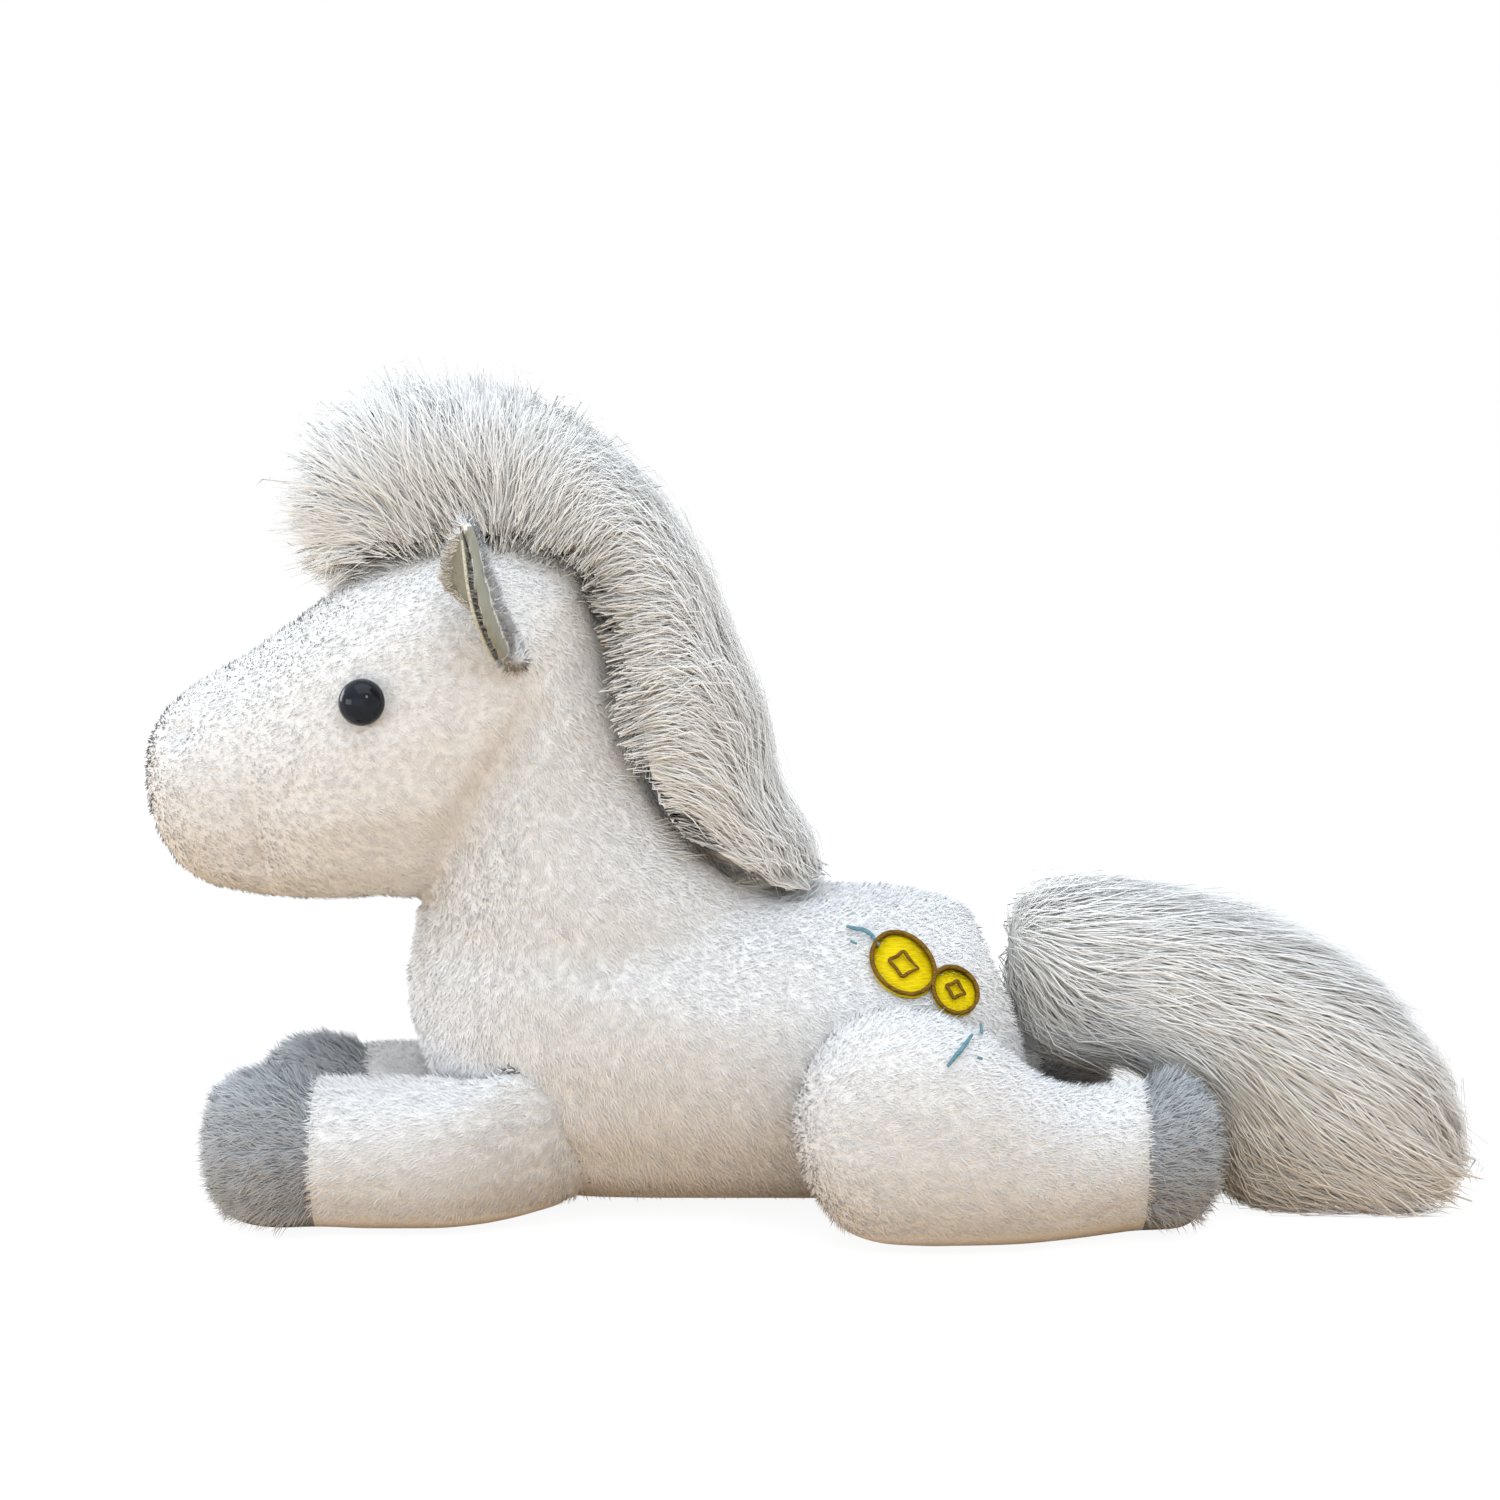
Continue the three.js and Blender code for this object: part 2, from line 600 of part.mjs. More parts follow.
// A closed leaf between two depths, cupped so that its rims stand forward.
// start is where it begins above the seam, and inset narrows it.
function earLeaf(back, front, start, inset) {
  const outline = new THREE.CatmullRomCurve3(
    earOutlineShares.map((share, k) => new THREE.Vector3(k, share, 0)),
  );
  const midrib = new THREE.Vector3(Math.cos(earLean), Math.sin(earLean), 0);
  const square = new THREE.Vector3(Math.sin(earLean), -Math.cos(earLean), 0);
  const along = new THREE.Vector3(1, 0, 0);
  const positions = [];
  for (const depth of [back, front]) {
    for (let row = 0; row <= earRows; row++) {
      const share = row / earRows;
      const reach = start + share * (earLength - start - inset);
      const rise = reach / earLength;
      const spread = (outline.getPoint(rise).y * earWidth) / 2;
      const room = Math.max(spread - inset, spread * earLeastSpreadShare);
      const turn = THREE.MathUtils.smoothstep(rise, 0, earSquareShare);
      const direction = along.clone().lerp(square, turn).normalize();
      const cup = earCup * Math.sin(Math.PI * Math.min(rise + earCupStartShare, 1));
      for (let k = 0; k <= earColumns; k++) {
        const u = (2 * k) / earColumns - 1;
        const point = midrib.clone().multiplyScalar(reach).addScaledVector(direction, room * u);
        positions.push(point.x, point.y, depth + cup * u * u);
      }
    }
  }
  const width = earColumns + 1;
  const sheet = width * (earRows + 1);
  const index = [];
  const quad = (a, b, c, d) => index.push(a, b, c, a, c, d);
  for (let row = 0; row < earRows; row++) {
    for (let k = 0; k < earColumns; k++) {
      const a = row * width + k;
      quad(a, a + width, a + width + 1, a + 1);
      quad(sheet + a, sheet + a + 1, sheet + a + width + 1, sheet + a + width);
    }
    const [rim, far] = [row * width, row * width + earColumns];
    quad(rim, sheet + rim, sheet + rim + width, rim + width);
    quad(far, far + width, sheet + far + width, sheet + far);
  }
  for (let k = 0; k < earColumns; k++) {
    const tip = earRows * width + k;
    quad(k, k + 1, sheet + k + 1, sheet + k);
    quad(tip, sheet + tip, sheet + tip + 1, tip + 1);
  }
  const geometry = new THREE.BufferGeometry();
  geometry.setAttribute("position", new THREE.Float32BufferAttribute(positions, 3));
  geometry.setIndex(index);
  return geometry;
}

function earRoll(radius, length, frame) {
  const roll = mergeVertices(new THREE.CylinderGeometry(radius, radius, length, rollSides));
  roll.rotateZ(Math.PI / 2);
  return solidFrom(intoEarFrame(roll, frame));
}

const earFrames = [-1, 1].map(earFrame);
const earBacks = earFrames.map((frame) =>
  earRoll(earRollRadius, earRollLength, frame).add(
    solidFrom(intoEarFrame(earLeaf(-earThickness / 2, earThickness / 2, 0, 0), frame)),
  ),
);
const earLinings = earFrames.map((frame) => {
  const back = earThickness / 2 + seamGap;
  const start = earRollRadius + 2 * seamGap;
  return solidFrom(
    intoEarFrame(earLeaf(back, back + earLiningThickness, start, earLiningMargin), frame),
  );
});
const earGrooves = earFrames.map((frame) =>
  earRoll(earRollRadius + seamGap, earRollLength + 2 * seamGap, frame),
);

const headShell = cut(head(0), head(lining, hiddenSides), ...eyeRecesses, ...earGrooves);
const headSkin = largestOf(cut(headShell, neckSide(halfGap), muzzleSide(-halfGap)));
const muzzleSkin = largestOf(cut(headShell, cheekSide(halfGap)));
const headStuffing = largestOf(
  cut(head(stuffingFit, hiddenSides), neckSide(halfGap), ...stuffingRecesses),
);

// Mane

const crest = cut(
  formSolid(maneRows, throat, bodySides, crestRoundShare),
  head(seamGap),
  neck(seamGap),
  trunk(seamGap),
);
const crownMane = largestOf(cut(crest, neckSide(halfGap)));
const neckMane = largestOf(cut(crest, headSide(-halfGap)));

// Legs

// What the trunk takes of a leg while the leg splays outward about its flex line.
function sweptTrunk(gap, flex, splay, side) {
  const about = new THREE.Vector3(flex.x, flex.y, 0);
  const turned = [];
  for (let step = 0; step <= sweepSteps; step++) {
    const geometry = stuffedForm(trunkRows, bodySides, bodyRoundShare, gap);
    geometry.translate(onFloor.x - about.x, onFloor.y - about.y, onFloor.z);
    geometry.rotateZ((-side * splay * step) / sweepSteps);
    turned.push(solidFrom(geometry.translate(about.x, about.y, 0)));
  }
  return turned.reduce((a, b) => a.add(b));
}

// A leg's skin, hoof and stuffing. lie.ahead is -1 where the leg points forward and 1 where it
// points back, lie.middle is where its form is set across, and lie.turn is its toe-in.
function legPieces(rows, flex, lie) {
  const place = new THREE.Matrix4().makeTranslation(flex.x, lie.middle, -floorSettle);
  place.multiply(new THREE.Matrix4().makeRotationZ(lie.turn));
  const leg = (swell, sides) => {
    const geometry = stuffedForm(rows, sides, limbRoundShare, swell);
    geometry.scale(1, -lie.side, lie.settle).applyMatrix4(place);
    turnOutward(geometry);
    return solidFrom(geometry);
  };
  const seam = new THREE.Vector3(lie.hoofAlong, 0, 0).applyMatrix4(place);
  const toHoof = new THREE.Vector3(lie.ahead, 0, 0).transformDirection(place);
  const toBody = toHoof.clone().negate();
  const seamSide = (gap, normal) => halfSpace(seam.clone().addScaledVector(toHoof, gap), normal);
  const swept = sweptTrunk(2 * seamGap, flex, lie.splay * lie.ahead, lie.side);
  const shell = cut(leg(0, limbSides), leg(lining, hiddenSides), underFloor);
  return {
    flex,
    skin: largestOf(cut(shell, swept, seamSide(-halfGap, toHoof))),
    hoof: largestOf(cut(shell, seamSide(halfGap, toBody))),
    stuffing: largestOf(cut(leg(stuffingFit, hiddenSides), swept)),
    form: (swell) => geometryFrom(leg(swell, limbSides)),
  };
}

function foreLeg(side, setback, turn, settle) {
  const flex = new THREE.Vector3(foreAlongShare * trunkLength + setback, side * foreSpread, 0);
  const hoofAlong = -foreHoofShare * foreLength;
  const lie = { side, turn, settle, hoofAlong, ahead: -1, middle: flex.y, splay: foreSplay };
  return legPieces(foreRows, flex, lie);
}

function hindLeg(side, advance) {
  const middle = side * hindSpread;
  const flexAcross = middle - side * hindFlexInset;
  const flex = new THREE.Vector3(hindAlongShare * trunkLength - advance, flexAcross, 0);
  const hoofAlong = hindHoofShare * hindLength;
  const lie = { side, middle, hoofAlong, turn: 0, settle: 1, ahead: 1, splay: hindSplay };
  return legPieces(hindRows, flex, lie);
}

const legs = {
  left_fore: foreLeg(-1, 0, 0, 1),
  right_fore: foreLeg(1, rightForeSetback, rightForeToeIn, rightForeHeightShare),
  left_hind: hindLeg(-1, 0),
  right_hind: hindLeg(1, rightHindAdvance),
};

// Tail

const brushPlace = new THREE.Vector3(tailRoot.x, 0, tailRoot.z - tailFloorLift);
const brush = (swell, sides) =>
  formSolid(tailRows, brushPlace, sides, crestRoundShare, swell).add(
    ball(tailRootRadius + swell, tailRoot),
  );
const towardRump = { point: tailRoot, normal: new THREE.Vector3(-1, 0, 0) };

// What the hind legs take of the tail while the tail lifts off the floor.
function sweptHindLegs(swell) {
  const turned = [];
  for (const leg of [legs.left_hind, legs.right_hind]) {
    for (let step = 0; step <= sweepSteps; step++) {
      const geometry = leg.form(swell).translate(-tailRoot.x, 0, -tailRoot.z);
      geometry.rotateY((tailLift * step) / sweepSteps);
      turned.push(solidFrom(geometry.translate(tailRoot.x, 0, tailRoot.z)));
    }
  }
  return turned;
}

const tailSkin = largestOf(
  cut(
    brush(0, bodySides),
    cut(brush(lining, hiddenSides), ...sweptHindLegs(2 * seamGap + plushThickness)),
    rod(tailMouthRadius, 0, tailRootRadius * 2, towardRump, washerSides),
    underFloor,
    ...sweptHindLegs(2 * seamGap),
  ),
);
const tailStuffing = largestOf(
  cut(brush(stuffingFit, hiddenSides), ...sweptHindLegs(4 * seamGap + plushThickness)),
);

// Assembly: one group for what moves together, each at the line or point it flexes about

function piece(name, solid, material, pivot) {
  const geometry = geometryFrom(solid).translate(-pivot.x, -pivot.y, -pivot.z);
  geometry.computeVertexNormals();
  const mesh = new THREE.Mesh(geometry, material);
  mesh.name = name;
  return mesh;
}

function assembly(pivot, pieces) {
  const group = new THREE.Group();
  group.position.copy(pivot);
  for (const [name, [solid, material]] of Object.entries(pieces)) {
    group.add(piece(name, solid, material, pivot));
  }
  return group;
}

const pony = new THREE.Group();
pony.add(
  assembly(new THREE.Vector3(0, 0, 0), {
    trunk_skin: [trunkSkin, white],
    trunk_stuffing: [trunkStuffing, fibre],
    neck_skin: [neckSkin, white],
    neck_stuffing: [neckStuffing, fibre],
    neck_mane: [neckMane, longWhite],
  }),
);
pony.add(
  assembly(throat, {
    head_skin: [headSkin, white],
    muzzle_skin: [muzzleSkin, white],
    head_stuffing: [headStuffing, fibre],
    crown_mane: [crownMane, longWhite],
    left_eye: [eyes[0], glossBlack],
    right_eye: [eyes[1], glossBlack],
    left_eye_washer: [washers[0], washerPlastic],
    right_eye_washer: [washers[1], washerPlastic],
  }),
);
["left", "right"].forEach((side, i) => {
  pony.add(
    assembly(earFrames[i].place, {
      [side + "_ear_back"]: [earBacks[i], white],
      [side + "_ear_lining"]: [earLinings[i], satin],
    }),
  );
});
for (const [name, leg] of Object.entries(legs)) {
  pony.add(
    assembly(leg.flex, {
      [name + "_leg_skin"]: [leg.skin, white],
      [name + "_hoof_skin"]: [leg.hoof, grey],
      [name + "_leg_stuffing"]: [leg.stuffing, fibre],
    }),
  );
}
pony.add(
  assembly(tailRoot, {
    tail_skin: [tailSkin, longWhite],
    tail_stuffing: [tailStuffing, fibre],
  }),
);

pony.updateMatrixWorld(true);
const extent = new THREE.Box3().setFromObject(pony);
const middle = extent.getCenter(new THREE.Vector3());
pony.position.set(-middle.x, -middle.y, -extent.min.z);

export default pony;
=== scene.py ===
import json
import math

import bmesh
import bpy
import numpy as np
from mathutils import Matrix, Vector
from mathutils.bvhtree import BVHTree

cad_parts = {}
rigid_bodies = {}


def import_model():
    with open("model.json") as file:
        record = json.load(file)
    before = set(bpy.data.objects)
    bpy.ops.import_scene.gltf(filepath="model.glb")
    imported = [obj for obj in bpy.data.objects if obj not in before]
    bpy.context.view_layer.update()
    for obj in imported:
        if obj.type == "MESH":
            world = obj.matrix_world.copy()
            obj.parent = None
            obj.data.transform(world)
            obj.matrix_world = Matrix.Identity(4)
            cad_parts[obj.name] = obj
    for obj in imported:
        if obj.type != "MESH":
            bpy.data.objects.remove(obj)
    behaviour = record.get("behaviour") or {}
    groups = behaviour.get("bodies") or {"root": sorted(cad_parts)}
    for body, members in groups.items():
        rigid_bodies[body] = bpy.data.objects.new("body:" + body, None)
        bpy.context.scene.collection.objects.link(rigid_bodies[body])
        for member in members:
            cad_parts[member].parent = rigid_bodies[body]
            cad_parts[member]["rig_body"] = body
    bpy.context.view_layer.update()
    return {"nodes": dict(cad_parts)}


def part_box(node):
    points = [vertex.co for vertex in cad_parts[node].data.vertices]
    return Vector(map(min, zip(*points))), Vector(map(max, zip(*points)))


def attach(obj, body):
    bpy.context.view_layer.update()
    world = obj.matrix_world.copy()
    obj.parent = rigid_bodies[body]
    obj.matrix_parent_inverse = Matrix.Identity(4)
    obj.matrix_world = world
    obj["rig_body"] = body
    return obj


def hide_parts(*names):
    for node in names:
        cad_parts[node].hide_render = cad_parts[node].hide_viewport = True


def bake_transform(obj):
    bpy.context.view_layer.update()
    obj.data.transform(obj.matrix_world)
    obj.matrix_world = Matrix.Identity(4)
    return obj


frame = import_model()
scene = bpy.context.scene
mm = 0.001
touch = 0.001 * mm  # points closer than this are one
white = (1, 1, 1, 1)
shortSlot, longSlot, hoofSlot = "short_plush", "long_plush", "hoof_plush"


def linked(name, data):
    made = bpy.data.objects.new(name, data)
    scene.collection.objects.link(made)
    return made


def meshObject(name, bm):
    mesh = bpy.data.meshes.new(name)
    bm.to_mesh(mesh)
    bm.free()
    return linked(name, mesh)


# Finishes


class Wire:  # a socket that takes part in Python sums
    def __init__(self, nodes, socket):
        self.nodes, self.socket = nodes, socket

    def maths(self, operation, *others):
        node = self.nodes.node("ShaderNodeMath", {"operation": operation}, dict(enumerate(others)))
        return self.nodes.wire(node)

    def __add__(self, other):
        return self.maths("ADD", self, other)

    def __radd__(self, other):
        return self.maths("ADD", other, self)

    def __mul__(self, other):
        return self.maths("MULTIPLY", self, other)

    def __rmul__(self, other):
        return self.maths("MULTIPLY", other, self)

    def __pow__(self, other):
        return self.maths("POWER", self, other)


class Nodes:
    def __init__(self, tree):
        self.tree = tree

    def node(self, kind, settings=None, sockets=None):
        node = self.tree.nodes.new(kind)
        for key, value in (settings or {}).items():
            if key == "stops":
                ramp = node.color_ramp
                while len(ramp.elements) < len(value):
                    ramp.elements.new(0.5)
                for element, (place, colour) in zip(ramp.elements, value):
                    element.position, element.color = place, (*colour, 1)
            else:
                setattr(node, key, value)
        for key, value in (sockets or {}).items():
            if isinstance(value, Wire):
                self.tree.links.new(value.socket, node.inputs[key])
            else:
                node.inputs[key].default_value = value
        return node

    def wire(self, node, output=0):
        return Wire(self, node.outputs[output])

    def noise(self, scale, detail=2, stretch=None):
        place = self.wire(self.node("ShaderNodeTexCoord"), "Object")
        if stretch:
            turned = {"Vector": place, "Scale": stretch["scale"], "Rotation": stretch["turn"]}
            place = self.wire(self.node("ShaderNodeMapping", None, turned))
        sockets = {"Vector": place, "Scale": scale, "Detail": detail, "Roughness": 0.6}
        return self.wire(self.node("ShaderNodeTexNoise", None, sockets))

    def ramp(self, factor, stops):
        return self.wire(self.node("ShaderNodeValToRGB", {"stops": stops}, {0: factor}))

    def mix(self, factor, first, second, kind="MIX"):
        settings = {"data_type": "RGBA", "blend_type": kind}
        return self.wire(self.node("ShaderNodeMix", settings, {0: factor, 6: first, 7: second}), 2)


class Finish(Nodes):
    def __init__(self, name, roughness, **fixed):
        self.material = bpy.data.materials.new(name)
        self.material.use_nodes = True
        super().__init__(self.material.node_tree)
        self.shader = self.tree.nodes["Principled BSDF"]
        self.shader.inputs["Roughness"].default_value = roughness
        for socket, value in fixed.items():
            self.shader.inputs[socket.replace("_", " ")].default_value = value

    def colour(self, wire):
        self.tree.links.new(wire.socket, self.shader.inputs["Base Color"])

    def rough(self, wire):
        self.tree.links.new(wire.socket, self.shader.inputs["Roughness"])

    def bump(self, height, distance, strength=1.0):
        sockets = {"Height": height, "Distance": distance, "Strength": strength}
        bump = self.wire(self.node("ShaderNodeBump", None, sockets))
        self.tree.links.new(bump.socket, self.shader.inputs["Normal"])


pileMap = "OFBake"  # across it a strand's tone, up it the way from root to tip


def plush(name, dark, pale, grain):
    finish = Finish(name, 0.95, Specular_IOR_Level=0)
    blotches, tufts, fibres = finish.noise(90, 3), finish.noise(grain, 3), finish.noise(grain * 4)
    finish.colour(finish.ramp(blotches * 0.35 + tufts * 0.45 + fibres * 0.2, [(0.3, dark), (0.7, pale)]))
    finish.rough(0.88 + fibres * 0.12)
    finish.bump(tufts * 0.7 + fibres * 0.3, 0.9 * mm, 0.7)
    return finish.material


def pileFinish(name, paintedRootShade, tones):
    finish = Finish(name, 0.85, Specular_IOR_Level=0)
    uv = finish.wire(finish.node("ShaderNodeUVMap", {"uv_map": pileMap}))
    parts = finish.node("ShaderNodeSeparateXYZ", None, {0: uv})
    tone, along = finish.wire(parts, 0), finish.wire(parts, 1)
    shade = finish.ramp(tone, tones)
    # painted shade: towards its root a strand's colour is multiplied by paintedRootShade, for the shade that falls
    # between the strands
    finish.colour(finish.mix(along ** 0.6, finish.mix(1.0, shade, (*paintedRootShade, 1), "MULTIPLY"), shade))
    return finish.material


shortPlush = plush("shortPlush", (0.86, 0.85, 0.82), (0.95, 0.945, 0.93), 700)
shortPile = pileFinish(
    "shortPile",
    # painted root shade
    (0.985, 0.98, 0.97),
    # its darker low end is reached where the trimmed pile is painted darker
    [(0.0, (0.74, 0.71, 0.66)), (0.35, (0.91, 0.905, 0.89)), (1.0, (0.96, 0.96, 0.955))],
)
longPlush = plush("longPlush", (0.88, 0.86, 0.8), (0.96, 0.95, 0.91), 500)
longPile = pileFinish(
    "longPile",
    # painted root shade
    (0.98, 0.97, 0.94),
    [
        # its brown low end is reached where recess shade is painted
        (0.0, (0.5, 0.42, 0.32)),
        (0.2, (0.76, 0.71, 0.62)),
        (0.45, (0.9, 0.885, 0.84)),
        (1.0, (0.985, 0.985, 0.97)),
    ],
)
hoofPlush = plush("hoofPlush", (0.2, 0.21, 0.23), (0.42, 0.44, 0.46), 600)
hoofPile = pileFinish(
    "hoofPile",
    # painted root shade
    (0.5, 0.52, 0.57),
    [(0.0, (0.3, 0.315, 0.335)), (0.4, (0.52, 0.54, 0.55)), (1.0, (0.78, 0.8, 0.81))],
)
hideFinishes = {shortSlot: shortPlush, longSlot: longPlush, hoofSlot: hoofPlush}
pileFinishes = {shortSlot: shortPile, longSlot: longPile, hoofSlot: hoofPile}


def satinFinish():
    finish = Finish("earSatin", 0.55, Sheen_Weight=0.4, Sheen_Roughness=0.3)
    blotches, slubs = finish.noise(120, 2), finish.noise(900, 2, {"scale": (1, 1, 0.2), "turn": (0.3, 0.5, 0)})
    finish.colour(finish.ramp(blotches * 0.5 + slubs * 0.5, [(0.3, (0.27, 0.28, 0.22)), (0.7, (0.38, 0.39, 0.33))]))
    finish.rough(0.5 + slubs * 0.15)
    finish.bump(slubs, 0.15 * mm)
    return finish.material


def eyeFinish():
    finish = Finish("eyeBlack", 0.1, Specular_IOR_Level=0.22)
    haze = finish.noise(160, 3)
    finish.colour(finish.ramp(haze, [(0.3, (0.004, 0.005, 0.008)), (0.7, (0.012, 0.016, 0.026))]))
    finish.rough(0.05 + haze * 0.08)
    return finish.material


def washerFinish():
    finish = Finish("washerPlastic", 0.5)
    grain = finish.noise(300, 3)
    finish.colour(finish.ramp(grain, [(0.3, (0.74, 0.74, 0.72)), (0.7, (0.8, 0.8, 0.78))]))
    finish.rough(0.45 + grain * 0.1)
    finish.bump(grain, 0.05 * mm)
    return finish.material


def threadFinish(name, dark, pale, turn):
    finish = Finish(name, 0.6, Specular_IOR_Level=0.12)
    threads = finish.noise(2600, 1, {"scale": (0.12, 1, 1), "turn": (0, turn, 0)})
    finish.colour(finish.ramp(threads, [(0.3, dark), (0.65, pale)]))
    finish.rough(0.5 + threads * 0.25)
    finish.bump(threads, 0.25 * mm)
    return finish.material


earSatin, eyeBlack, washerPlastic = satinFinish(), eyeFinish(), washerFinish()
goldThread = threadFinish("goldThread", (0.74, 0.53, 0.001), (0.98, 0.76, 0.003), 0.5)
brownThread = threadFinish("brownThread", (0.1, 0.05, 0.006), (0.26, 0.14, 0.015), 0.0)
blueThread = threadFinish("blueThread", (0.08, 0.19, 0.24), (0.19, 0.36, 0.42), 0.8)
# painted highlight: a pale thread laid along the folded edge of each ear lining
paintedFoldHighlight = threadFinish("paintedFoldHighlight", (0.55, 0.54, 0.4), (0.75, 0.73, 0.6), 0.0)

# Floor, light and camera

studio = {
    "target": Vector((-0.012385, 0, 0.1206)),
    "distance": 0.8,
    "elevation": math.radians(6),
    "lens": 72.456,
    "skyLight": (0.88, 0.96, 1.06),
    "skyStrength": 0.86,
    "floorTone": (0.6, 0.39, 0.2),
    "floorGlow": 0.92,
    "floorSize": 4,
    "lampTarget": Vector((0, 0, 0.09)),
    "lamps": {  # place, size, power and colour
        "softboxOver": ((0.1, -0.3, 1.3), (1.6, 1.3), 9, (0.93, 0.985, 1.06)),
        "softboxFront": ((-0.6, -1.8, 0.4), (1.6, 0.8), 1.6, (0.94, 0.99, 1.05)),
        "softboxWindow": ((-1.5, -0.9, 0.3), (0.9, 0.5), 6, (0.92, 0.985, 1.06)),
        "softboxRim": ((-1.3, 0.7, 0.45), (0.8, 0.6), 9, (0.94, 0.985, 1.05)),
        "softboxKey": ((0.3, -1.0, 0.75), (0.2, 0.2), 1.6, (1.0, 1.0, 1.0)),
    },
}


def lamp(name, place, size, power, colour):
    light = bpy.data.lights.new(name, "AREA")
    light.shape, light.size, light.size_y = "RECTANGLE", *size
    light.energy, light.color = power, colour
    hung = linked(name, light)
    hung.location = place
    hung.rotation_euler = (studio["lampTarget"] - Vector(place)).to_track_quat("-Z", "Y").to_euler()


def seenDirectly(nodes):
    path = nodes.node("ShaderNodeLightPath")
    names = ("Is Camera Ray", "Is Glossy Ray", "Is Transmission Ray")
    seen, mirrored, through = [nodes.wire(path, name) for name in names]
    return seen.maths("MAXIMUM", seen.maths("MAXIMUM", mirrored, through), seen)


def buildStudio():
    scene.view_settings.view_transform = "Standard"
    world = bpy.data.worlds.new("studioSky")
    scene.world = world
    world.use_nodes = True
    sky = Nodes(world.node_tree)
    behind = seenDirectly(sky)
    background = sky.tree.nodes["Background"]
    tone = sky.mix(behind, (*studio["skyLight"], 1), white)
    strength = studio["skyStrength"] + behind * (1 - studio["skyStrength"])
    sky.tree.links.new(tone.socket, background.inputs["Color"])
    sky.tree.links.new(strength.socket, background.inputs["Strength"])

    bm = bmesh.new()
    bmesh.ops.create_grid(bm, x_segments=1, y_segments=1, size=studio["floorSize"])
    floor = meshObject("floor", bm)
    finish = Finish("paleFloor", 0.9, Specular_IOR_Level=0, Emission_Color=white)
    direct = seenDirectly(finish)
    dim = 2 * (1 - studio["floorGlow"])
    finish.colour(finish.mix(direct, (*studio["floorTone"], 1), (dim, dim, dim, 1)))
    glow = direct * studio["floorGlow"]
    finish.tree.links.new(glow.socket, finish.shader.inputs["Emission Strength"])
    floor.data.materials.append(finish.material)

    for name, values in studio["lamps"].items():
        lamp(name, *values)
    camera = linked("camera", bpy.data.cameras.new("camera"))
    camera.data.lens = studio["lens"]
    rise, back = math.sin(studio["elevation"]), math.cos(studio["elevation"])
    camera.location = studio["target"] + Vector((0, -back, rise)) * studio["distance"]
    camera.rotation_euler = (math.pi / 2 - studio["elevation"], 0, 0)
    scene.camera = camera


buildStudio()
print("studio ready")

# Stuffed forms, taken from the solids that they stand for

forms = {
    "voxel": 3.6 * mm,
    "slack": 0.8 * mm,  # a pad starts this much smaller, because it swells
    "pressure": 4,
    "frames": 20,
    "cap": 2.2 * mm,
    "hideInset": 1.5 * mm,  # the pile fills it
    "hoofInset": 2.2 * mm,
    "longInset": 4.5 * mm,
    "longShare": 0.3,  # where it is thin, only this much of it is pressed in
    "probe": 0.05 * mm,  # from here its depth is measured
    "underside": (0.95, 0.35),  # a face that looks down more squarely than the first isn't pressed
    "floorGap": 0.1 * mm,
}


def nodeCopy(name, nodes):
    bm = bmesh.new()
    for node in nodes:
        bm.from_mesh(frame["nodes"][node].data)
    bmesh.ops.remove_doubles(bm, verts=bm.verts, dist=touch)
    return meshObject(name, bm)


def applied(piece):  # the mesh as its modifiers make it, with none left
    depsgraph = bpy.context.evaluated_depsgraph_get()
    mesh = bpy.data.meshes.new_from_object(piece.evaluated_get(depsgraph))
    piece.modifiers.clear()
    piece.data = mesh
    return piece


def places(mesh, value="co"):
    found = np.empty(len(mesh.vertices) * 3)
    mesh.vertices.foreach_get(value, found)
    return found.reshape(-1, 3)


def normalsOf(mesh):
    return places(mesh, "normal")


def setPlaces(mesh, found):
    mesh.vertices.foreach_set("co", found.ravel())
    mesh.update()


def remeshed(piece, voxel):
    remesh = piece.modifiers.new("remesh", "REMESH")
    remesh.mode, remesh.voxel_size = "VOXEL", voxel
    return applied(piece)


def smoothed(piece, times):
    bm = bmesh.new()
    bm.from_mesh(piece.data)
    for _ in range(times):
        bmesh.ops.smooth_vert(bm, verts=bm.verts, factor=0.5, use_axis_x=True, use_axis_y=True, use_axis_z=True)
    bm.to_mesh(piece.data)
    bm.free()
    return piece


def subdivided(piece, levels):
    surface = piece.modifiers.new("surface", "SUBSURF")
    surface.levels = surface.render_levels = levels
    return applied(piece)


def swell(pieces):  # every pad is blown up in one run, and no point moves far
    rests = {}
    for piece in pieces:
        start = places(piece.data)
        setPlaces(piece.data, start - normalsOf(piece.data) * forms["slack"])
        rests[piece.name] = start
        cloth = piece.modifiers.new("cloth", "CLOTH")
        cloth.settings.quality = 4
        cloth.settings.use_pressure = True
        cloth.settings.uniform_pressure_force = forms["pressure"]
        cloth.settings.effector_weights.gravity = 0
        cloth.collision_settings.use_collision = False
        cloth.point_cache.frame_end = forms["frames"]
    for step in range(1, forms["frames"] + 1):
        scene.frame_set(step)
    for piece in pieces:
        applied(piece)
        moves = places(piece.data) - rests[piece.name]
        length = np.linalg.norm(moves, axis=1, keepdims=True)
        moves *= np.minimum(1, forms["cap"] / np.maximum(length, 1e-9))
        setPlaces(piece.data, rests[piece.name] + moves)
    scene.frame_set(1)


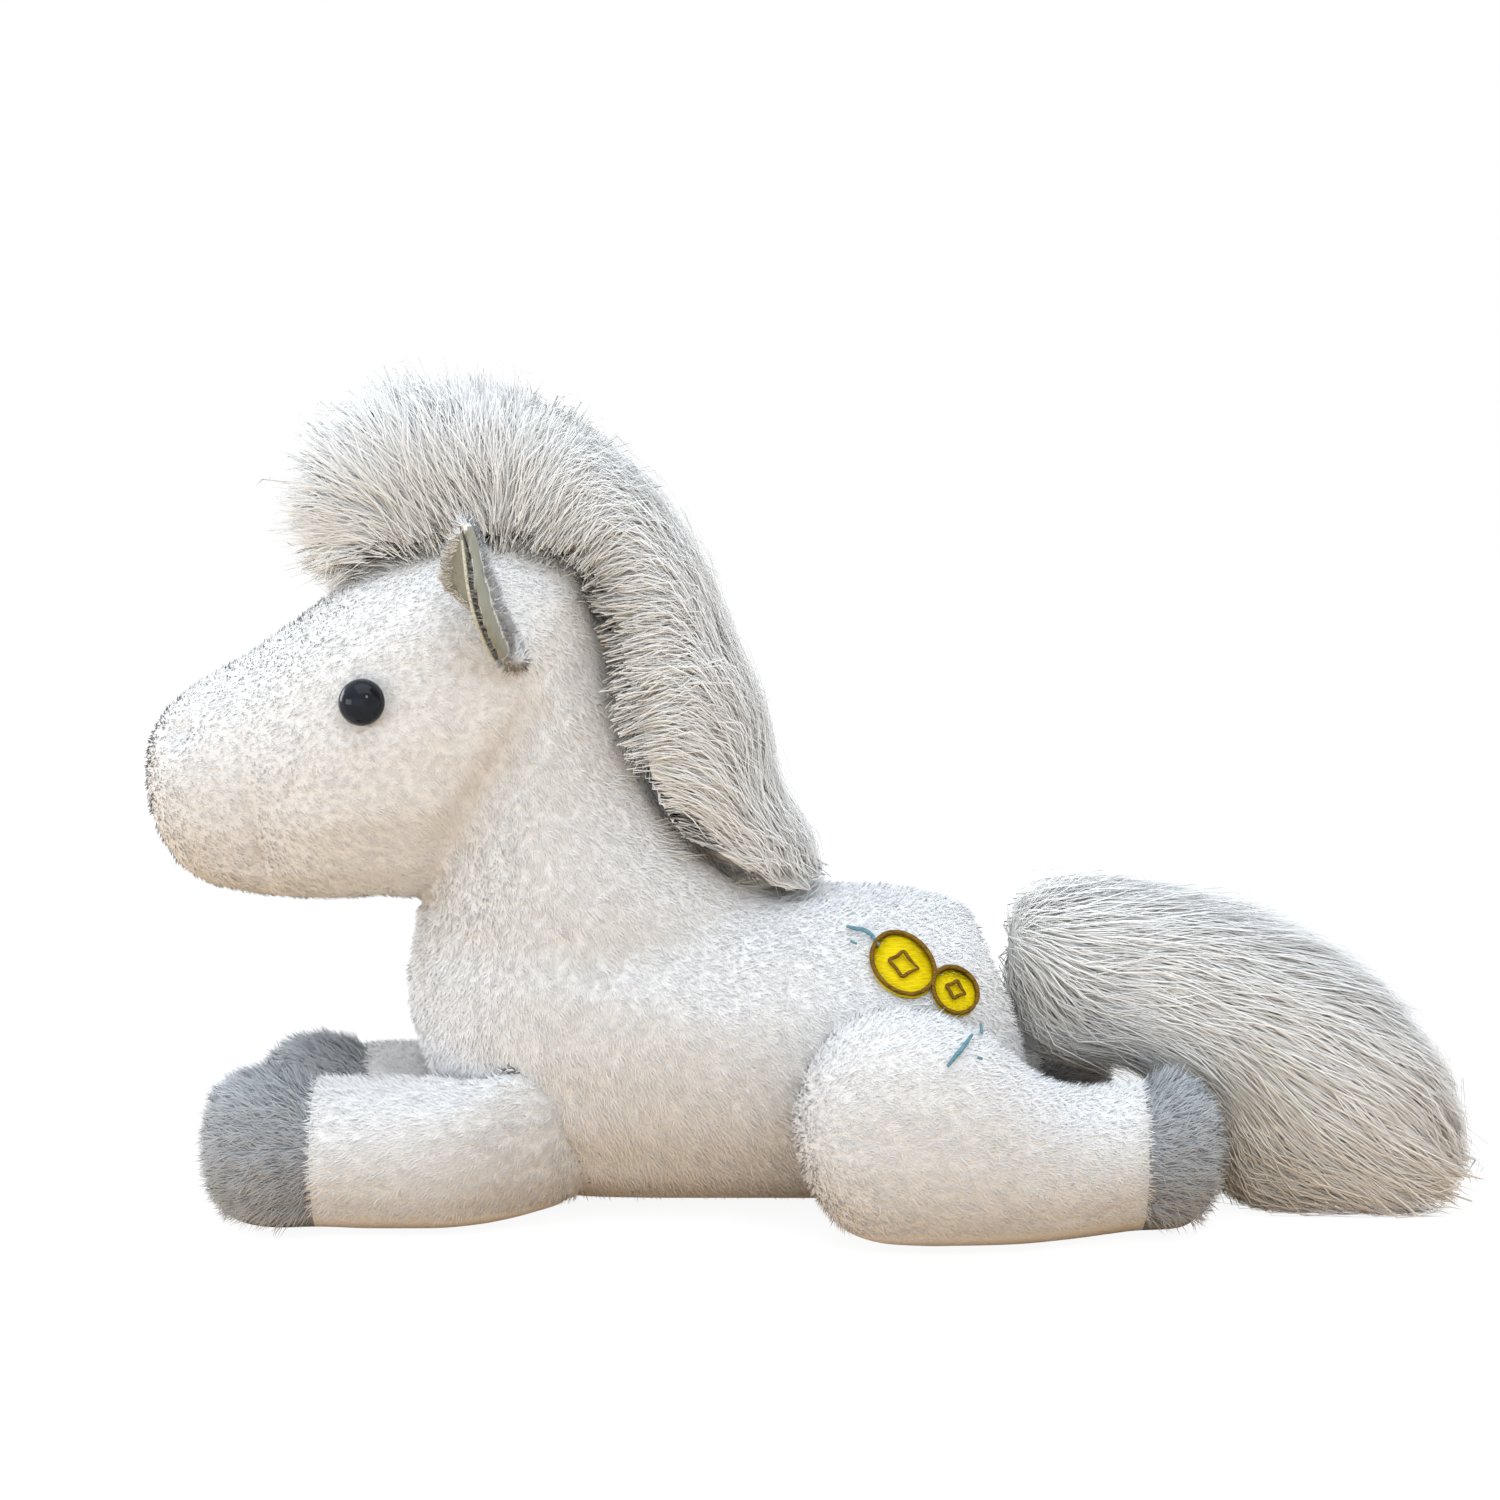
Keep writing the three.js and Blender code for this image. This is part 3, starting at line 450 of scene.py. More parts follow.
legs = {  # what its pieces are called, and its body
    "left_fore": ("leftFore", "left_foreleg"),
    "right_fore": ("rightFore", "right_foreleg"),
    "left_hind": ("leftHind", "left_hind_leg"),
    "right_hind": ("rightHind", "right_hind_leg"),
}
trunkAndNeck = ["trunk_skin", "trunk_stuffing", "neck_skin", "neck_stuffing"]
sources = {
    "body": nodeCopy("body", [*trunkAndNeck, "head_skin", "muzzle_skin", "head_stuffing"]),
    "mane": nodeCopy("mane", ["neck_mane", "crown_mane"]),
    "tail": nodeCopy("tail", ["tail_skin", "tail_stuffing"]),
}
for leg in legs:
    sources[leg] = nodeCopy(leg, [leg + "_leg_skin", leg + "_hoof_skin", leg + "_leg_stuffing"])
for source in sources.values():
    smoothed(remeshed(source, forms["voxel"]), 2)
swell(list(sources.values()))
for name, source in sources.items():
    if name not in ("mane", "tail"):
        subdivided(source, 1)
    smoothed(source, 2)
print("forms ready", {name: len(source.data.polygons) for name, source in sources.items()})

# Seams and hollows pressed into the forms

seams = {
    "neck": {"point": Vector((-97.375, 0, 84.746)) * mm, "normal": Vector((-0.866025, 0, 0.5))},
    "muzzle": {"point": Vector((-138.57, 0, 84.746)) * mm, "normal": Vector((-0.99255, 0, -0.12187))},
    "left_fore": {"point": Vector((-123.6, -34, 20)) * mm, "normal": Vector((-1, 0, 0))},
    "right_fore": {"point": Vector((-118, 25.2, 20)) * mm, "normal": Vector((-0.99027, -0.13917, 0))},
    "left_hind": {"point": Vector((87.6, -37, 20)) * mm, "normal": Vector((1, 0, 0))},
    "right_hind": {"point": Vector((67.6, 37, 20)) * mm, "normal": Vector((1, 0, 0))},
    "withers": {"point": Vector((0, 0, 90)) * mm, "normal": Vector((0, 0, 1))},
    "chest": {"point": Vector((-35, 0, 0)) * mm, "normal": Vector((-1, 0, 0))},
}
creases = {  # a seam's crease is deepest below its top and fades above, down to the least share
    "muzzle": {"width": 2.2 * mm, "depth": 3 * mm, "top": 135 * mm, "fade": 50 * mm, "least": 0.12},
    "neck": {"width": 4 * mm, "depth": 2.8 * mm, "top": 150 * mm, "fade": 40 * mm, "least": 0.1},
    "neckEnd": 78 * mm,  # the neck has none below this
    "hoof": {"width": 1.6 * mm, "depth": 1.2 * mm, "blend": 2 * mm},
}
hollows = {
    "eyeRadius": 9 * mm,
    "eyeDepth": 1.3 * mm,
    "nostril": (-160.8, 128),  # in x and z as seen from the side
    "nostrilRadius": 4 * mm,
    "nostrilDepth": 3 * mm,
    "eyeOut": 8,  # in mm, from the middle of an eye's solid
}
shoulder = {
    "start": -92 * mm,
    "end": -52 * mm,
    "depth": 9.5 * mm,
    "drop": {"left_fore": 2 * mm, "right_fore": 9 * mm},
    "dropFrom": 25 * mm,  # the drop grows over this height
    "dropOver": 30 * mm,
}
thigh = {"point": Vector((40, -50, 64)) * mm, "radius": 13 * mm, "depth": 2 * mm}  # under the small disc


def beyond(points, seam):  # the distance in front of a seam's plane
    return (points - np.array(seam["point"])) @ np.array(seam["normal"])


def seamPress(points, seam, crease):
    return crease["depth"] * np.exp(-((beyond(points, seams[seam]) / crease["width"]) ** 2))


def fadingPress(points, seam):
    crease = creases[seam]
    fade = np.clip((crease["top"] - points[:, 2]) / crease["fade"], crease["least"], 1)
    return seamPress(points, seam, crease) * fade


def dimple(points, centre, radius, depth):
    away = np.linalg.norm(points - np.array(centre), axis=1)
    return depth * np.exp(-((away / radius) ** 2))


def pressed(piece, amounts):  # moves each vertex inwards by its amount, except on the flat underside
    mesh = piece.data
    points, normals = places(mesh), normalsOf(mesh)
    square, fade = forms["underside"]
    under = np.clip((normals[:, 2] + square) / fade, 0, 1)
    points = points - normals * (amounts * under)[:, None]
    points[:, 2] = np.maximum(points[:, 2], forms["floorGap"])
    setPlaces(mesh, points)


eyeMiddles = {}
for side in ("left", "right"):
    low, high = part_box(side + "_eye")
    eyeMiddles[side] = (Vector(low) + Vector(high)) / 2


def treeOf(mesh):
    bm = bmesh.new()
    bm.from_mesh(mesh)
    tree = BVHTree.FromBMesh(bm)
    bm.free()
    return tree


def onSide(place, tree, lift):  # a point seen from the left, set on the surface there
    start = Vector((place[0], -200, place[1])) * mm
    hit, normal, _, _ = tree.ray_cast(start, Vector((0, 1, 0)))
    if hit is None:
        hit, normal, _, _ = tree.find_nearest(start + Vector((0, 150, 0)) * mm)
    return hit + normal * lift * mm


nostril = onSide(hollows["nostril"], treeOf(sources["body"].data), 0)


def shapeBody():
    body = sources["body"]
    points = places(body.data)
    press = np.full(len(points), forms["hideInset"])
    press += fadingPress(points, "muzzle")
    press += fadingPress(points, "neck") * (points[:, 2] > creases["neckEnd"])
    for side, way in (("left", -1), ("right", 1)):
        outer = eyeMiddles[side] + Vector((0, way * hollows["eyeOut"], 0)) * mm
        press += dimple(points, outer, hollows["eyeRadius"], hollows["eyeDepth"])
        hollow = nostril * Vector((1, -way, 1))
        press += dimple(points, hollow, hollows["nostrilRadius"], hollows["nostrilDepth"])
    pressed(body, press)


def sunkShoulder(leg, points):  # a fore leg's rear end dives into the trunk's side
    share = np.clip((points[:, 0] - shoulder["start"]) / (shoulder["end"] - shoulder["start"]), 0, 1)
    share = share * share * (3 - 2 * share)
    points[:, 1] += share * shoulder["depth"] * (1 if leg == "left_fore" else -1)
    top = np.clip((points[:, 2] - shoulder["dropFrom"]) / shoulder["dropOver"], 0, 1)
    points[:, 2] -= share * top * shoulder["drop"][leg]
    return points


def shapeLeg(leg):
    if leg in shoulder["drop"]:
        setPlaces(sources[leg].data, sunkShoulder(leg, places(sources[leg].data)))
        smoothed(sources[leg], 3)
    points = places(sources[leg].data)
    ahead = beyond(points, seams[leg])
    inHoof = np.clip(0.5 + ahead / creases["hoof"]["blend"], 0, 1)
    press = forms["hideInset"] + (forms["hoofInset"] - forms["hideInset"]) * inHoof
    if leg == "left_hind":
        press += dimple(points, thigh["point"], thigh["radius"], thigh["depth"])
    pressed(sources[leg], press + seamPress(points, leg, creases["hoof"]))


def shapeLong(source):  # pressed in less where it is thin
    tree = treeOf(source.data)
    inset = []
    for vert in source.data.vertices:
        depth = tree.ray_cast(vert.co - vert.normal * forms["probe"], -vert.normal)[3]
        inset.append(min(forms["longInset"], forms["longShare"] * (depth or 0)))
    pressed(source, np.array(inset))
    smoothed(source, 2)


shapeBody()
for leg in legs:
    shapeLeg(leg)
for name in ("mane", "tail"):
    shapeLong(sources[name])


def cutPart(source, name, cuts):  # keeps what lies behind each plane, and closes the cuts
    bm = bmesh.new()
    bm.from_mesh(source.data)
    for seam, way in cuts:
        geometry = bm.verts[:] + bm.edges[:] + bm.faces[:]
        bmesh.ops.bisect_plane(
            bm,
            geom=geometry,
            dist=0.01 * mm,
            plane_co=seams[seam]["point"],
            plane_no=seams[seam]["normal"] * way,
            clear_outer=True,
        )
        rim = [edge for edge in bm.edges if edge.is_boundary]
        bmesh.ops.holes_fill(bm, edges=rim, sides=0)
        for edge in rim:
            edge.smooth = False
    bmesh.ops.recalc_face_normals(bm, faces=bm.faces)
    for face in bm.faces:
        face.smooth = True
    return meshObject(name, bm)


def worn(piece, body):  # a piece for "bend" is baked where it stands and joins no body; any other is attached to its body
    if body == "bend":
        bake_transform(piece)
    else:
        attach(piece, body)
    return piece


def stuffed(name, source, cuts, body, slot, *nodes):
    piece = cutPart(sources[source], name, cuts)
    piece.data.materials.append(hideFinishes[slot])
    worn(piece, body)
    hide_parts(*nodes)


trunkCuts, neckCuts = [("neck", 1), ("withers", 1)], [("neck", 1), ("withers", -1)]
headCuts, muzzleCuts = [("neck", -1), ("muzzle", 1)], [("muzzle", -1)]
behindNeck, beforeNeck = [("neck", 1)], [("neck", -1)]
stuffed("trunkHide", "body", trunkCuts, "bend", shortSlot, "trunk_skin", "trunk_stuffing")
stuffed("neckHide", "body", neckCuts, "bend", shortSlot, "neck_skin", "neck_stuffing")
stuffed("headHide", "body", headCuts, "head", shortSlot, "head_skin", "head_stuffing")
stuffed("muzzleHide", "body", muzzleCuts, "head", shortSlot, "muzzle_skin")
stuffed("crownBase", "mane", beforeNeck, "head", longSlot, "crown_mane")
stuffed("maneBase", "mane", behindNeck, "bend", longSlot, "neck_mane")
stuffed("tailBase", "tail", [], "tail", longSlot, "tail_skin", "tail_stuffing")
for leg, (label, body) in legs.items():
    stuffed(label + "Leg", leg, [(leg, 1)], body, shortSlot, leg + "_leg_skin", leg + "_leg_stuffing")
    stuffed(label + "Hoof", leg, [(leg, -1)], body, hoofSlot, leg + "_hoof_skin")
print("hides ready")

# Pile: closed tapered strands that stand on the forms

pile = {
    "tones": 32,
    "toneSpan": 0.8,  # how much of its tone's column a strand takes
    "sunk": 0.4 * mm,  # how deep its root sits
    "flat": 0.2,  # a strand's height to its width
    "floorGap": 0.15 * mm,
    "bareUnder": 6 * mm,  # no strand grows lower than this on what looks down
    "markBlur": 5 * mm,
    "fanFrom": 14,  # in mm, how far inside the leg the hoof's pile fans out from
}
shortKind = {
    "quick": (4, 2),
    "looksDown": -0.5,
    "lean": (0.7, 0.6),  # the least share of a coat's value, and what chance adds
    "length": (0.65, 0.35),
    "width": (0.75, 0.5),
    "byTuft": 0.3,  # how far the length goes with the tuft
    "blotch": 14 * mm,
    "tones": (0.12, 0.1, 0.12),  # how far they go with tuft, blotch and strand
    "paintedTrimShade": 0.8,  # painted shade: trimmed pile in the muzzle's seam, round the eyes and in the nostrils is darker
}
longKind = {
    "quick": (3, 1.7),
    "looksDown": -0.7,
    "lift": (0.4, 1.2),
    "length": (0.55, 0.45),
    "width": (0.7, 0.6),
    "byTuft": (0.85, 0.3),
    "hidden": 2 * mm,
    "lock": 2.6,  # a lock's size to a tuft's
    "turns": (0.6, 0.7),  # by tuft and lock
    "strays": 0.07,
    "parting": 12 * mm,
    "climb": 1.6,
    "rise": 0.5 * mm,  # a strand stands at least this much higher with each step
    "tones": (0.08, 0.08, 0.06, 0.06),  # by tuft, lock and strand, and by level as painted shade: strands lying lower are darker
}


def strandShape(steps):  # one strand, a unit long and thick: its vertices, their steps and its faces
    bm = bmesh.new()
    stand = Matrix.Translation((0, 0, 0.5))
    bmesh.ops.create_cone(bm, cap_ends=True, segments=3, radius1=0.5, radius2=0, depth=1, matrix=stand)
    bmesh.ops.remove_doubles(bm, verts=bm.verts, dist=1e-5)
    for step in range(1, steps):
        geometry = bm.verts[:] + bm.edges[:] + bm.faces[:]
        bmesh.ops.bisect_plane(bm, geom=geometry, dist=1e-6, plane_co=(0, 0, step / steps), plane_no=(0, 0, 1))
    bmesh.ops.triangulate(bm, faces=bm.faces)
    bmesh.ops.recalc_face_normals(bm, faces=bm.faces)
    bm.verts.index_update()
    found = np.array([vert.co for vert in bm.verts])
    faces = np.array([[vert.index for vert in face.verts] for face in bm.faces])
    bm.free()
    level = np.rint(found[:, 2] * steps).astype(int)
    fuller = np.maximum(1 - found[:, 2], 1e-9) ** -0.5  # keeps it thick for longer than a cone
    return found[:, :2] * fuller[:, None], level, faces


def unit(vectors):
    return vectors / np.maximum(np.linalg.norm(vectors, axis=-1, keepdims=True), 1e-12)


def strands(name, paths, ups, widths, tones, material, softness):
    steps = paths.shape[1] - 1
    section, level, faces = strandShape(steps)
    count, corners = len(paths), len(section)
    ways = unit(np.gradient(paths, axis=1))
    sides = unit(np.cross(ups, ways))
    overs = np.cross(ways, sides)
    spread = sides[:, level] * section[:, 0, None] + overs[:, level] * section[:, 1, None] * pile["flat"]
    vertices = paths[:, level] + spread * widths[:, None, None]
    vertices[..., 2] = np.maximum(vertices[..., 2], pile["floorGap"])
    shading = unit(ups[:, level] * softness + unit(spread) * (1 - softness))
    indices = (faces[None] + (np.arange(count) * corners)[:, None, None]).reshape(-1)
    mesh = bpy.data.meshes.new(name)
    mesh.vertices.add(count * corners)
    mesh.vertices.foreach_set("co", vertices.ravel())
    mesh.loops.add(len(indices))
    mesh.loops.foreach_set("vertex_index", indices)
    mesh.polygons.add(len(indices) // 3)
    mesh.polygons.foreach_set("loop_start", np.arange(0, len(indices), 3))
    mesh.update(calc_edges=True)
    column = np.floor(np.clip(tones, 0, 0.999) * pile["tones"])
    across = (column[:, None] + 0.5 + pile["toneSpan"] * section[None, :, 0]) / pile["tones"]
    along = np.broadcast_to(level / steps, across.shape)
    uv = np.stack([across, along], -1).reshape(-1, 2)[indices]
    mesh.uv_layers.new(name=pileMap).uv.foreach_set("vector", uv.ravel())
    mesh.shade_smooth()
    mesh.normals_split_custom_set_from_vertices(shading.reshape(-1, 3))
    mesh.materials.append(material)
    return linked(name, mesh)


def hashed(cells, salt):  # a number for each cell of a grid, the same in each run
    mixed = (cells * np.array([73856093, 19349663, 83492791])).sum(-1) + salt * 1013904223
    mixed = (mixed ^ (mixed >> 13)) * 1274126177
    return ((mixed ^ (mixed >> 16)) & 0xFFFF) / 0xFFFF


def nearestTuft(points, size, salt):  # the middle of the tuft that each root belongs to, and the tuft's number
    cells = np.floor(points / size).astype(np.int64)
    best = np.full(len(points), np.inf)
    middle, number = np.zeros_like(points), np.zeros(len(points))
    for offset in np.ndindex(3, 3, 3):
        cell = cells + np.array(offset) - 1
        place = (cell + np.stack([hashed(cell, salt + axis) for axis in (1, 2, 3)], -1)) * size
        away = ((points - place) ** 2).sum(-1)
        near = away < best
        best[near], middle[near], number[near] = away[near], place[near], hashed(cell, salt)[near]
    return middle, number


def rootsOn(base, count, salt):  # spread evenly over the surface, with its normals
    mesh = base.data
    mesh.calc_loop_triangles()
    corners = np.empty(len(mesh.loop_triangles) * 3, int)
    mesh.loop_triangles.foreach_get("vertices", corners)
    corners = corners.reshape(-1, 3)
    points, normals = places(mesh)[corners], normalsOf(mesh)[corners]
    areas = np.linalg.norm(np.cross(points[:, 1] - points[:, 0], points[:, 2] - points[:, 0]), axis=1)
    chance = np.random.default_rng(salt)
    wanted = (np.arange(count) + chance.random(count)) / count
    chosen = np.minimum(np.searchsorted(np.cumsum(areas) / areas.sum(), wanted), len(areas) - 1)
    first, second = np.sqrt(chance.random(count)), chance.random(count)
    shares = np.stack([1 - first, first * (1 - second), first * second], -1)[..., None]
    return (points[chosen] * shares).sum(1), unit((normals[chosen] * shares).sum(1)), chance


def surfaceOf(piece):
    found = places(piece.data)
    return treeOf(piece.data), found.min(0), found.max(0)


def hiddenIn(points, surfaces, depth):  # the roots that lie this deep inside another piece
    hidden = np.zeros(len(points), bool)
    rays = [Vector((0, 0, 1)), Vector((0.3, 0.9, 0.2)), Vector((0.2, -0.9, 0.3))]
    for tree, low, high in surfaces:
        for index in np.flatnonzero(np.all((points > low) & (points < high), axis=1) & ~hidden):
            exits = 0
            for ray in rays:
                normal = tree.ray_cast(points[index], ray)[1]
                exits += normal is not None and normal.dot(ray) > 0
            hidden[index] = exits > 1 and tree.find_nearest(points[index])[3] > depth
    return hidden


surfaces = {name: surfaceOf(source) for name, source in sources.items()}


def combed(points, marks):
    marks = np.array(marks, float)
    away = ((points[:, None, [0, 2]] - marks[:, :2] * mm) ** 2).sum(-1)
    weights = 1 / (away + pile["markBlur"] ** 2) ** 2
    weights /= weights.sum(1, keepdims=True)
    angles = np.radians(marks[:, 2])
    flow = np.stack([weights @ np.cos(angles), np.zeros(len(points)), weights @ np.sin(angles)], -1)
    return unit(flow), weights @ marks[:, 3] * mm


# How the body's pile lies. Each mark gives x and z in mm and the strands' direction, up from the tail's way
bodyMarks = [
    (-168, 120, -20, 0), (-150, 95, -10, 0), (-115, 140, -15, 0), (-110, 100, -20, 0), (-75, 160, -20, 0),
    (-80, 115, -55, 0), (-55, 140, -70, 0), (-95, 60, -85, 0), (-60, 60, -60, 0), (-20, 85, -45, 0),
    (0, 45, -30, 0), (40, 82, -12, 0), (55, 50, -40, 0),
]


def bodyWay(points):
    return combed(points, bodyMarks)[0]


def lying(way):  # a leg's pile lies towards its hoof, an ear's along its midrib
    return lambda points: np.repeat(np.array(way)[None], len(points), axis=0)


def fanned(seam):  # a hoof's pile fans out from inside the leg
    focus = seams[seam]["point"] - seams[seam]["normal"] * pile["fanFrom"] * mm
    return lambda points: unit(points - np.array(focus))


def rooted(base, coat, salt, kind, cuts, within, depth, keep=None):  # the roots that show, and their tufts
    count = coat["count"] // 1
    points, normals, chance = rootsOn(sources[base], count, salt)
    wanted = (normals[:, 2] > kind["looksDown"]) | (points[:, 2] > pile["bareUnder"])
    for seam, side in cuts:
        wanted &= beyond(points, seams[seam]) * side < 0
    if keep:
        wanted &= keep(points)
    points, normals = points[wanted], normals[wanted]
    seen = ~hiddenIn(points, [surfaces[other] for other in within], depth)
    points, normals = points[seen], normals[seen]
    middle, number = nearestTuft(points, coat["tuft"], salt)
    pull = middle - points
    pull -= normals * (pull * normals).sum(1, keepdims=True)
    return points, normals, chance, number, pull


def varied(chance, count, least, more):
    return least + more * chance.random(count)


def strandWidths(chance, count, coat, kind):
    wider = 1
    return coat["width"] * wider * varied(chance, count, *kind["width"])


def shortCoat(name, base, coat, salt, way, body, cuts=(), within=(), keep=None, trim=None, slot=shortSlot):
    kind, deepest = shortKind, coat["length"] * coat["overlap"]
    points, normals, chance, number, pull = rooted(base, coat, salt, kind, cuts, within, deepest, keep)
    count = len(points)
    flow = unit(way(points) + chance.normal(0, coat["mess"], (count, 3)))
    flow = unit(flow - normals * (flow * normals).sum(1, keepdims=True))
    flow = unit(flow + np.cross(normals, flow) * ((number - 0.5) * coat["swirl"])[:, None])
    lean = math.radians(coat["lean"]) * varied(chance, count, *kind["lean"])[:, None]
    flow = flow * np.sin(lean) + normals * np.cos(lean)
    length = coat["length"] * (varied(chance, count, *kind["length"]) + kind["byTuft"] * (number - 0.5))
    trimmed = trim(points) if trim else 1
    length *= trimmed
    tips = points + flow * length[:, None] + pull * coat["gather"]
    paths = np.stack([points - normals * pile["sunk"], tips], 1)
    ups = np.repeat(normals[:, None], 2, axis=1)
    blotch = nearestTuft(points, kind["blotch"], salt + 50)[1]
    byTuft, byBlotch, byStrand = kind["tones"]
    tones = coat["tone"] + byTuft * (number - 0.5) + byBlotch * (blotch - 0.5)
    tones += byStrand * (chance.random(count) - 0.5)
    # painted shade in the seam's crease, the eyes' hollows and the nostrils, darker where the pile is trimmed
    tones -= kind["paintedTrimShade"] * (1 - trimmed)
    widths = strandWidths(chance, count, coat, kind)
    piece = strands(name, paths, ups, widths, tones, pileFinishes[slot], coat["softness"])
    return worn(piece, body)


bodyCoat = {
    "overlap": 0.8,  # how much of its length it may stand inside another piece
    "count": 150000,  # on the whole of body, neck and head
    "length": 3 * mm,
    "width": 0.62 * mm,
    "lean": 64,
    "tuft": 2.8 * mm,
    "gather": 0.22,
    "swirl": 0.8,
    "mess": 0.32,
    "tone": 0.72,
    "softness": 0.45,  # how far a strand is shaded as the form under it
}
legCoat = {**bodyCoat, "count": 25000}
hoofCoat = {
    **bodyCoat,
    "count": 36000,
    "length": 6 * mm,
    "width": 0.5 * mm,
    "tuft": 3.4 * mm,
    "gather": 0.7,
    "swirl": 0.9,
    "mess": 0.25,
    "tone": 0.6,
}
headCoat = {**bodyCoat, "length": 2.4 * mm, "width": 0.72 * mm, "lean": 76, "mess": 0.2}
earCoat = {**bodyCoat, "count": 8000, "length": 3.2 * mm, "lean": 44, "mess": 0.6, "tuft": 3 * mm}
fringeCoat = {**earCoat, "count": 6000, "length": 2.4 * mm, "lean": 60}

# The hip's embroidery: plain discs and wisps, in x and z as seen from the side. The trunk's pile leaves the discs bare
embroidery = {
    "discs": [
        {"middle": (26.4, 68.4), "long": 8.5, "short": 6.3, "turn": -28, "hole": 3.1},
        {"middle": (39.2, 62.2), "long": 6.2, "short": 4.8, "turn": -38, "hole": 2.2},
    ],
    "upperWisps": [
        [(12.4, 76.4), (14.6, 75.9), (16.7, 75.7), (19.0, 74.7), (20.4, 72.6)],
        [(13.4, 73.4), (14.9, 72.9)],
    ],
    "lowerWisps": [
        [(35.6, 49.4), (37.2, 51.0), (39.6, 53.0), (41.8, 54.9)],
        [(44.2, 54.6), (45.0, 55.6)],
        [(42.8, 50.6), (43.9, 50.2)],
    ],
    "lift": 1.9,  # above the hide, in the pile's upper half
    "threadLift": 0.1,
    "threadRadius": 0.6,
    "segments": 40,
    "rings": (6, 0.14),  # how many, and how wide each is in a disc of radius 1
    "puff": 0.5,
    "thickness": 0.8 * mm,
    "rim": 0.97,
    "holeTurn": 0.3,
    "holeSide": 0.55,
    "holeThread": 0.85,
}
pileRoom = {
    "eye": 5.6 * mm,  # bare round an eye's middle
    "eyeTrim": (0.3, 9 * mm),  # shorter by this share, over this width
    "seamTrim": (0.35, 1.5 * mm),
    "seamTop": (140 * mm, 20 * mm),  # none above this, full this much lower
    "nostrilTrim": (0.7, 0.8),  # by this share, over this much of its radius
    "discs": -0.3,  # in mm, how far a bare patch goes past its disc's edge
}


def underDiscs(points, room):
    found = np.zeros(len(points), bool)
    for disc in embroidery["discs"]:
        turn = math.radians(disc["turn"])
        offset = points[:, [0, 2]] / mm - np.array(disc["middle"])
        along = offset @ np.array([math.cos(turn), math.sin(turn)]) / (disc["long"] + room)
        across = offset @ np.array([-math.sin(turn), math.cos(turn)]) / (disc["short"] + room)
        found |= (along**2 + across**2 < 1) & (points[:, 1] < 0)
    return found


def fromEye(points):
    away = np.full(len(points), np.inf)
    for middle in eyeMiddles.values():
        away = np.minimum(away, np.linalg.norm((points - np.array(middle))[:, [0, 2]], axis=1))
    return away


def clearOfEye(points):
    return fromEye(points) > pileRoom["eye"]


def besideSeam(points):  # the pile is short along the muzzle's seam, below the eyes
    (share, width), (top, fade) = pileRoom["seamTrim"], pileRoom["seamTop"]
    near = np.exp(-((beyond(points, seams["muzzle"]) / width) ** 2))
    return 1 - share * near * np.clip((top - points[:, 2]) / fade, 0, 1)


def roundEye(points):
    share, width = pileRoom["eyeTrim"]
    return (1 - share * np.exp(-((fromEye(points) / width) ** 2))) * besideSeam(points)


def onMuzzle(points):
    share, width = pileRoom["nostrilTrim"]
    folded = np.stack([points[:, 0], -np.abs(points[:, 1]), points[:, 2]], -1)
    return (1 - dimple(folded, nostril, hollows["nostrilRadius"] * width, share)) * besideSeam(points)


def clearOfDiscs(points):
    return ~underDiscs(points, pileRoom["discs"])


shoulderCoat = {**bodyCoat, "overlap": 1.5}
shoulderCuts, rumpCuts = [*trunkCuts, ("chest", -1)], [*trunkCuts, ("chest", 1)]
byShoulder, byRump = ["mane", "left_fore", "right_fore"], ["mane", "tail", *legs]
shortCoat("shoulderPile", "body", shoulderCoat, 11, bodyWay, "bend", shoulderCuts, byShoulder)
shortCoat("rumpPile", "body", bodyCoat, 12, bodyWay, "torso", rumpCuts, byRump, clearOfDiscs)
shortCoat("neckPile", "body", bodyCoat, 13, bodyWay, "bend", neckCuts, ["mane"])
shortCoat("headPile", "body", headCoat, 14, bodyWay, "head", headCuts, ["mane"], clearOfEye, roundEye)
shortCoat("muzzlePile", "body", headCoat, 15, bodyWay, "head", muzzleCuts, trim=onMuzzle)
for salt, (leg, (label, body)) in enumerate(legs.items(), 16):
    shortCoat(label + "LegPile", leg, legCoat, salt, lying(seams[leg]["normal"]), body, [(leg, 1)], ["body"])
    shortCoat(label + "HoofPile", leg, hoofCoat, salt + 10, fanned(leg), body, [(leg, -1)], slot=hoofSlot)
print("short pile ready")

# Eyes: spun domes on their stems

eye = {
    "profile": [  # of dome and stem, from the top
        (0, 5.5), (1.6, 5.36), (3.1, 4.85), (4.4, 3.95), (5.4, 2.6), (5.9, 1.2),
        (6, 0.6), (5.8, 0), (1.6, -0.4), (1.6, -7), (0, -7),
    ],
    "apex": 6.39,  # from the middle of the solid to the top of the dome
    "outward": Vector((-0.1192, 0.9828, 0.1412)),
    "solidMiddle": Vector((-109.93, 37.6, 136.55)),
    "steps": 48,
}


def spun(name, profile, steps, foot, axis):  # a profile of radius and height, turned about an axis
    bm = bmesh.new()
    line = [bm.verts.new((radius * mm, 0, height * mm)) for radius, height in profile]
    edges = [bm.edges.new(pair) for pair in zip(line, line[1:])]
    bmesh.ops.spin(
        bm, geom=line + edges, cent=(0, 0, 0), axis=(0, 0, 1), angle=math.tau, steps=steps, use_merge=True
    )
    bmesh.ops.remove_doubles(bm, verts=bm.verts, dist=touch)
    bmesh.ops.recalc_face_normals(bm, faces=bm.faces)
    turn = axis.to_track_quat("Z", "Y").to_matrix().to_4x4()
    bmesh.ops.transform(bm, matrix=Matrix.Translation(foot) @ turn, verts=bm.verts)
    for face in bm.faces:
        face.smooth = True
    return meshObject(name, bm)


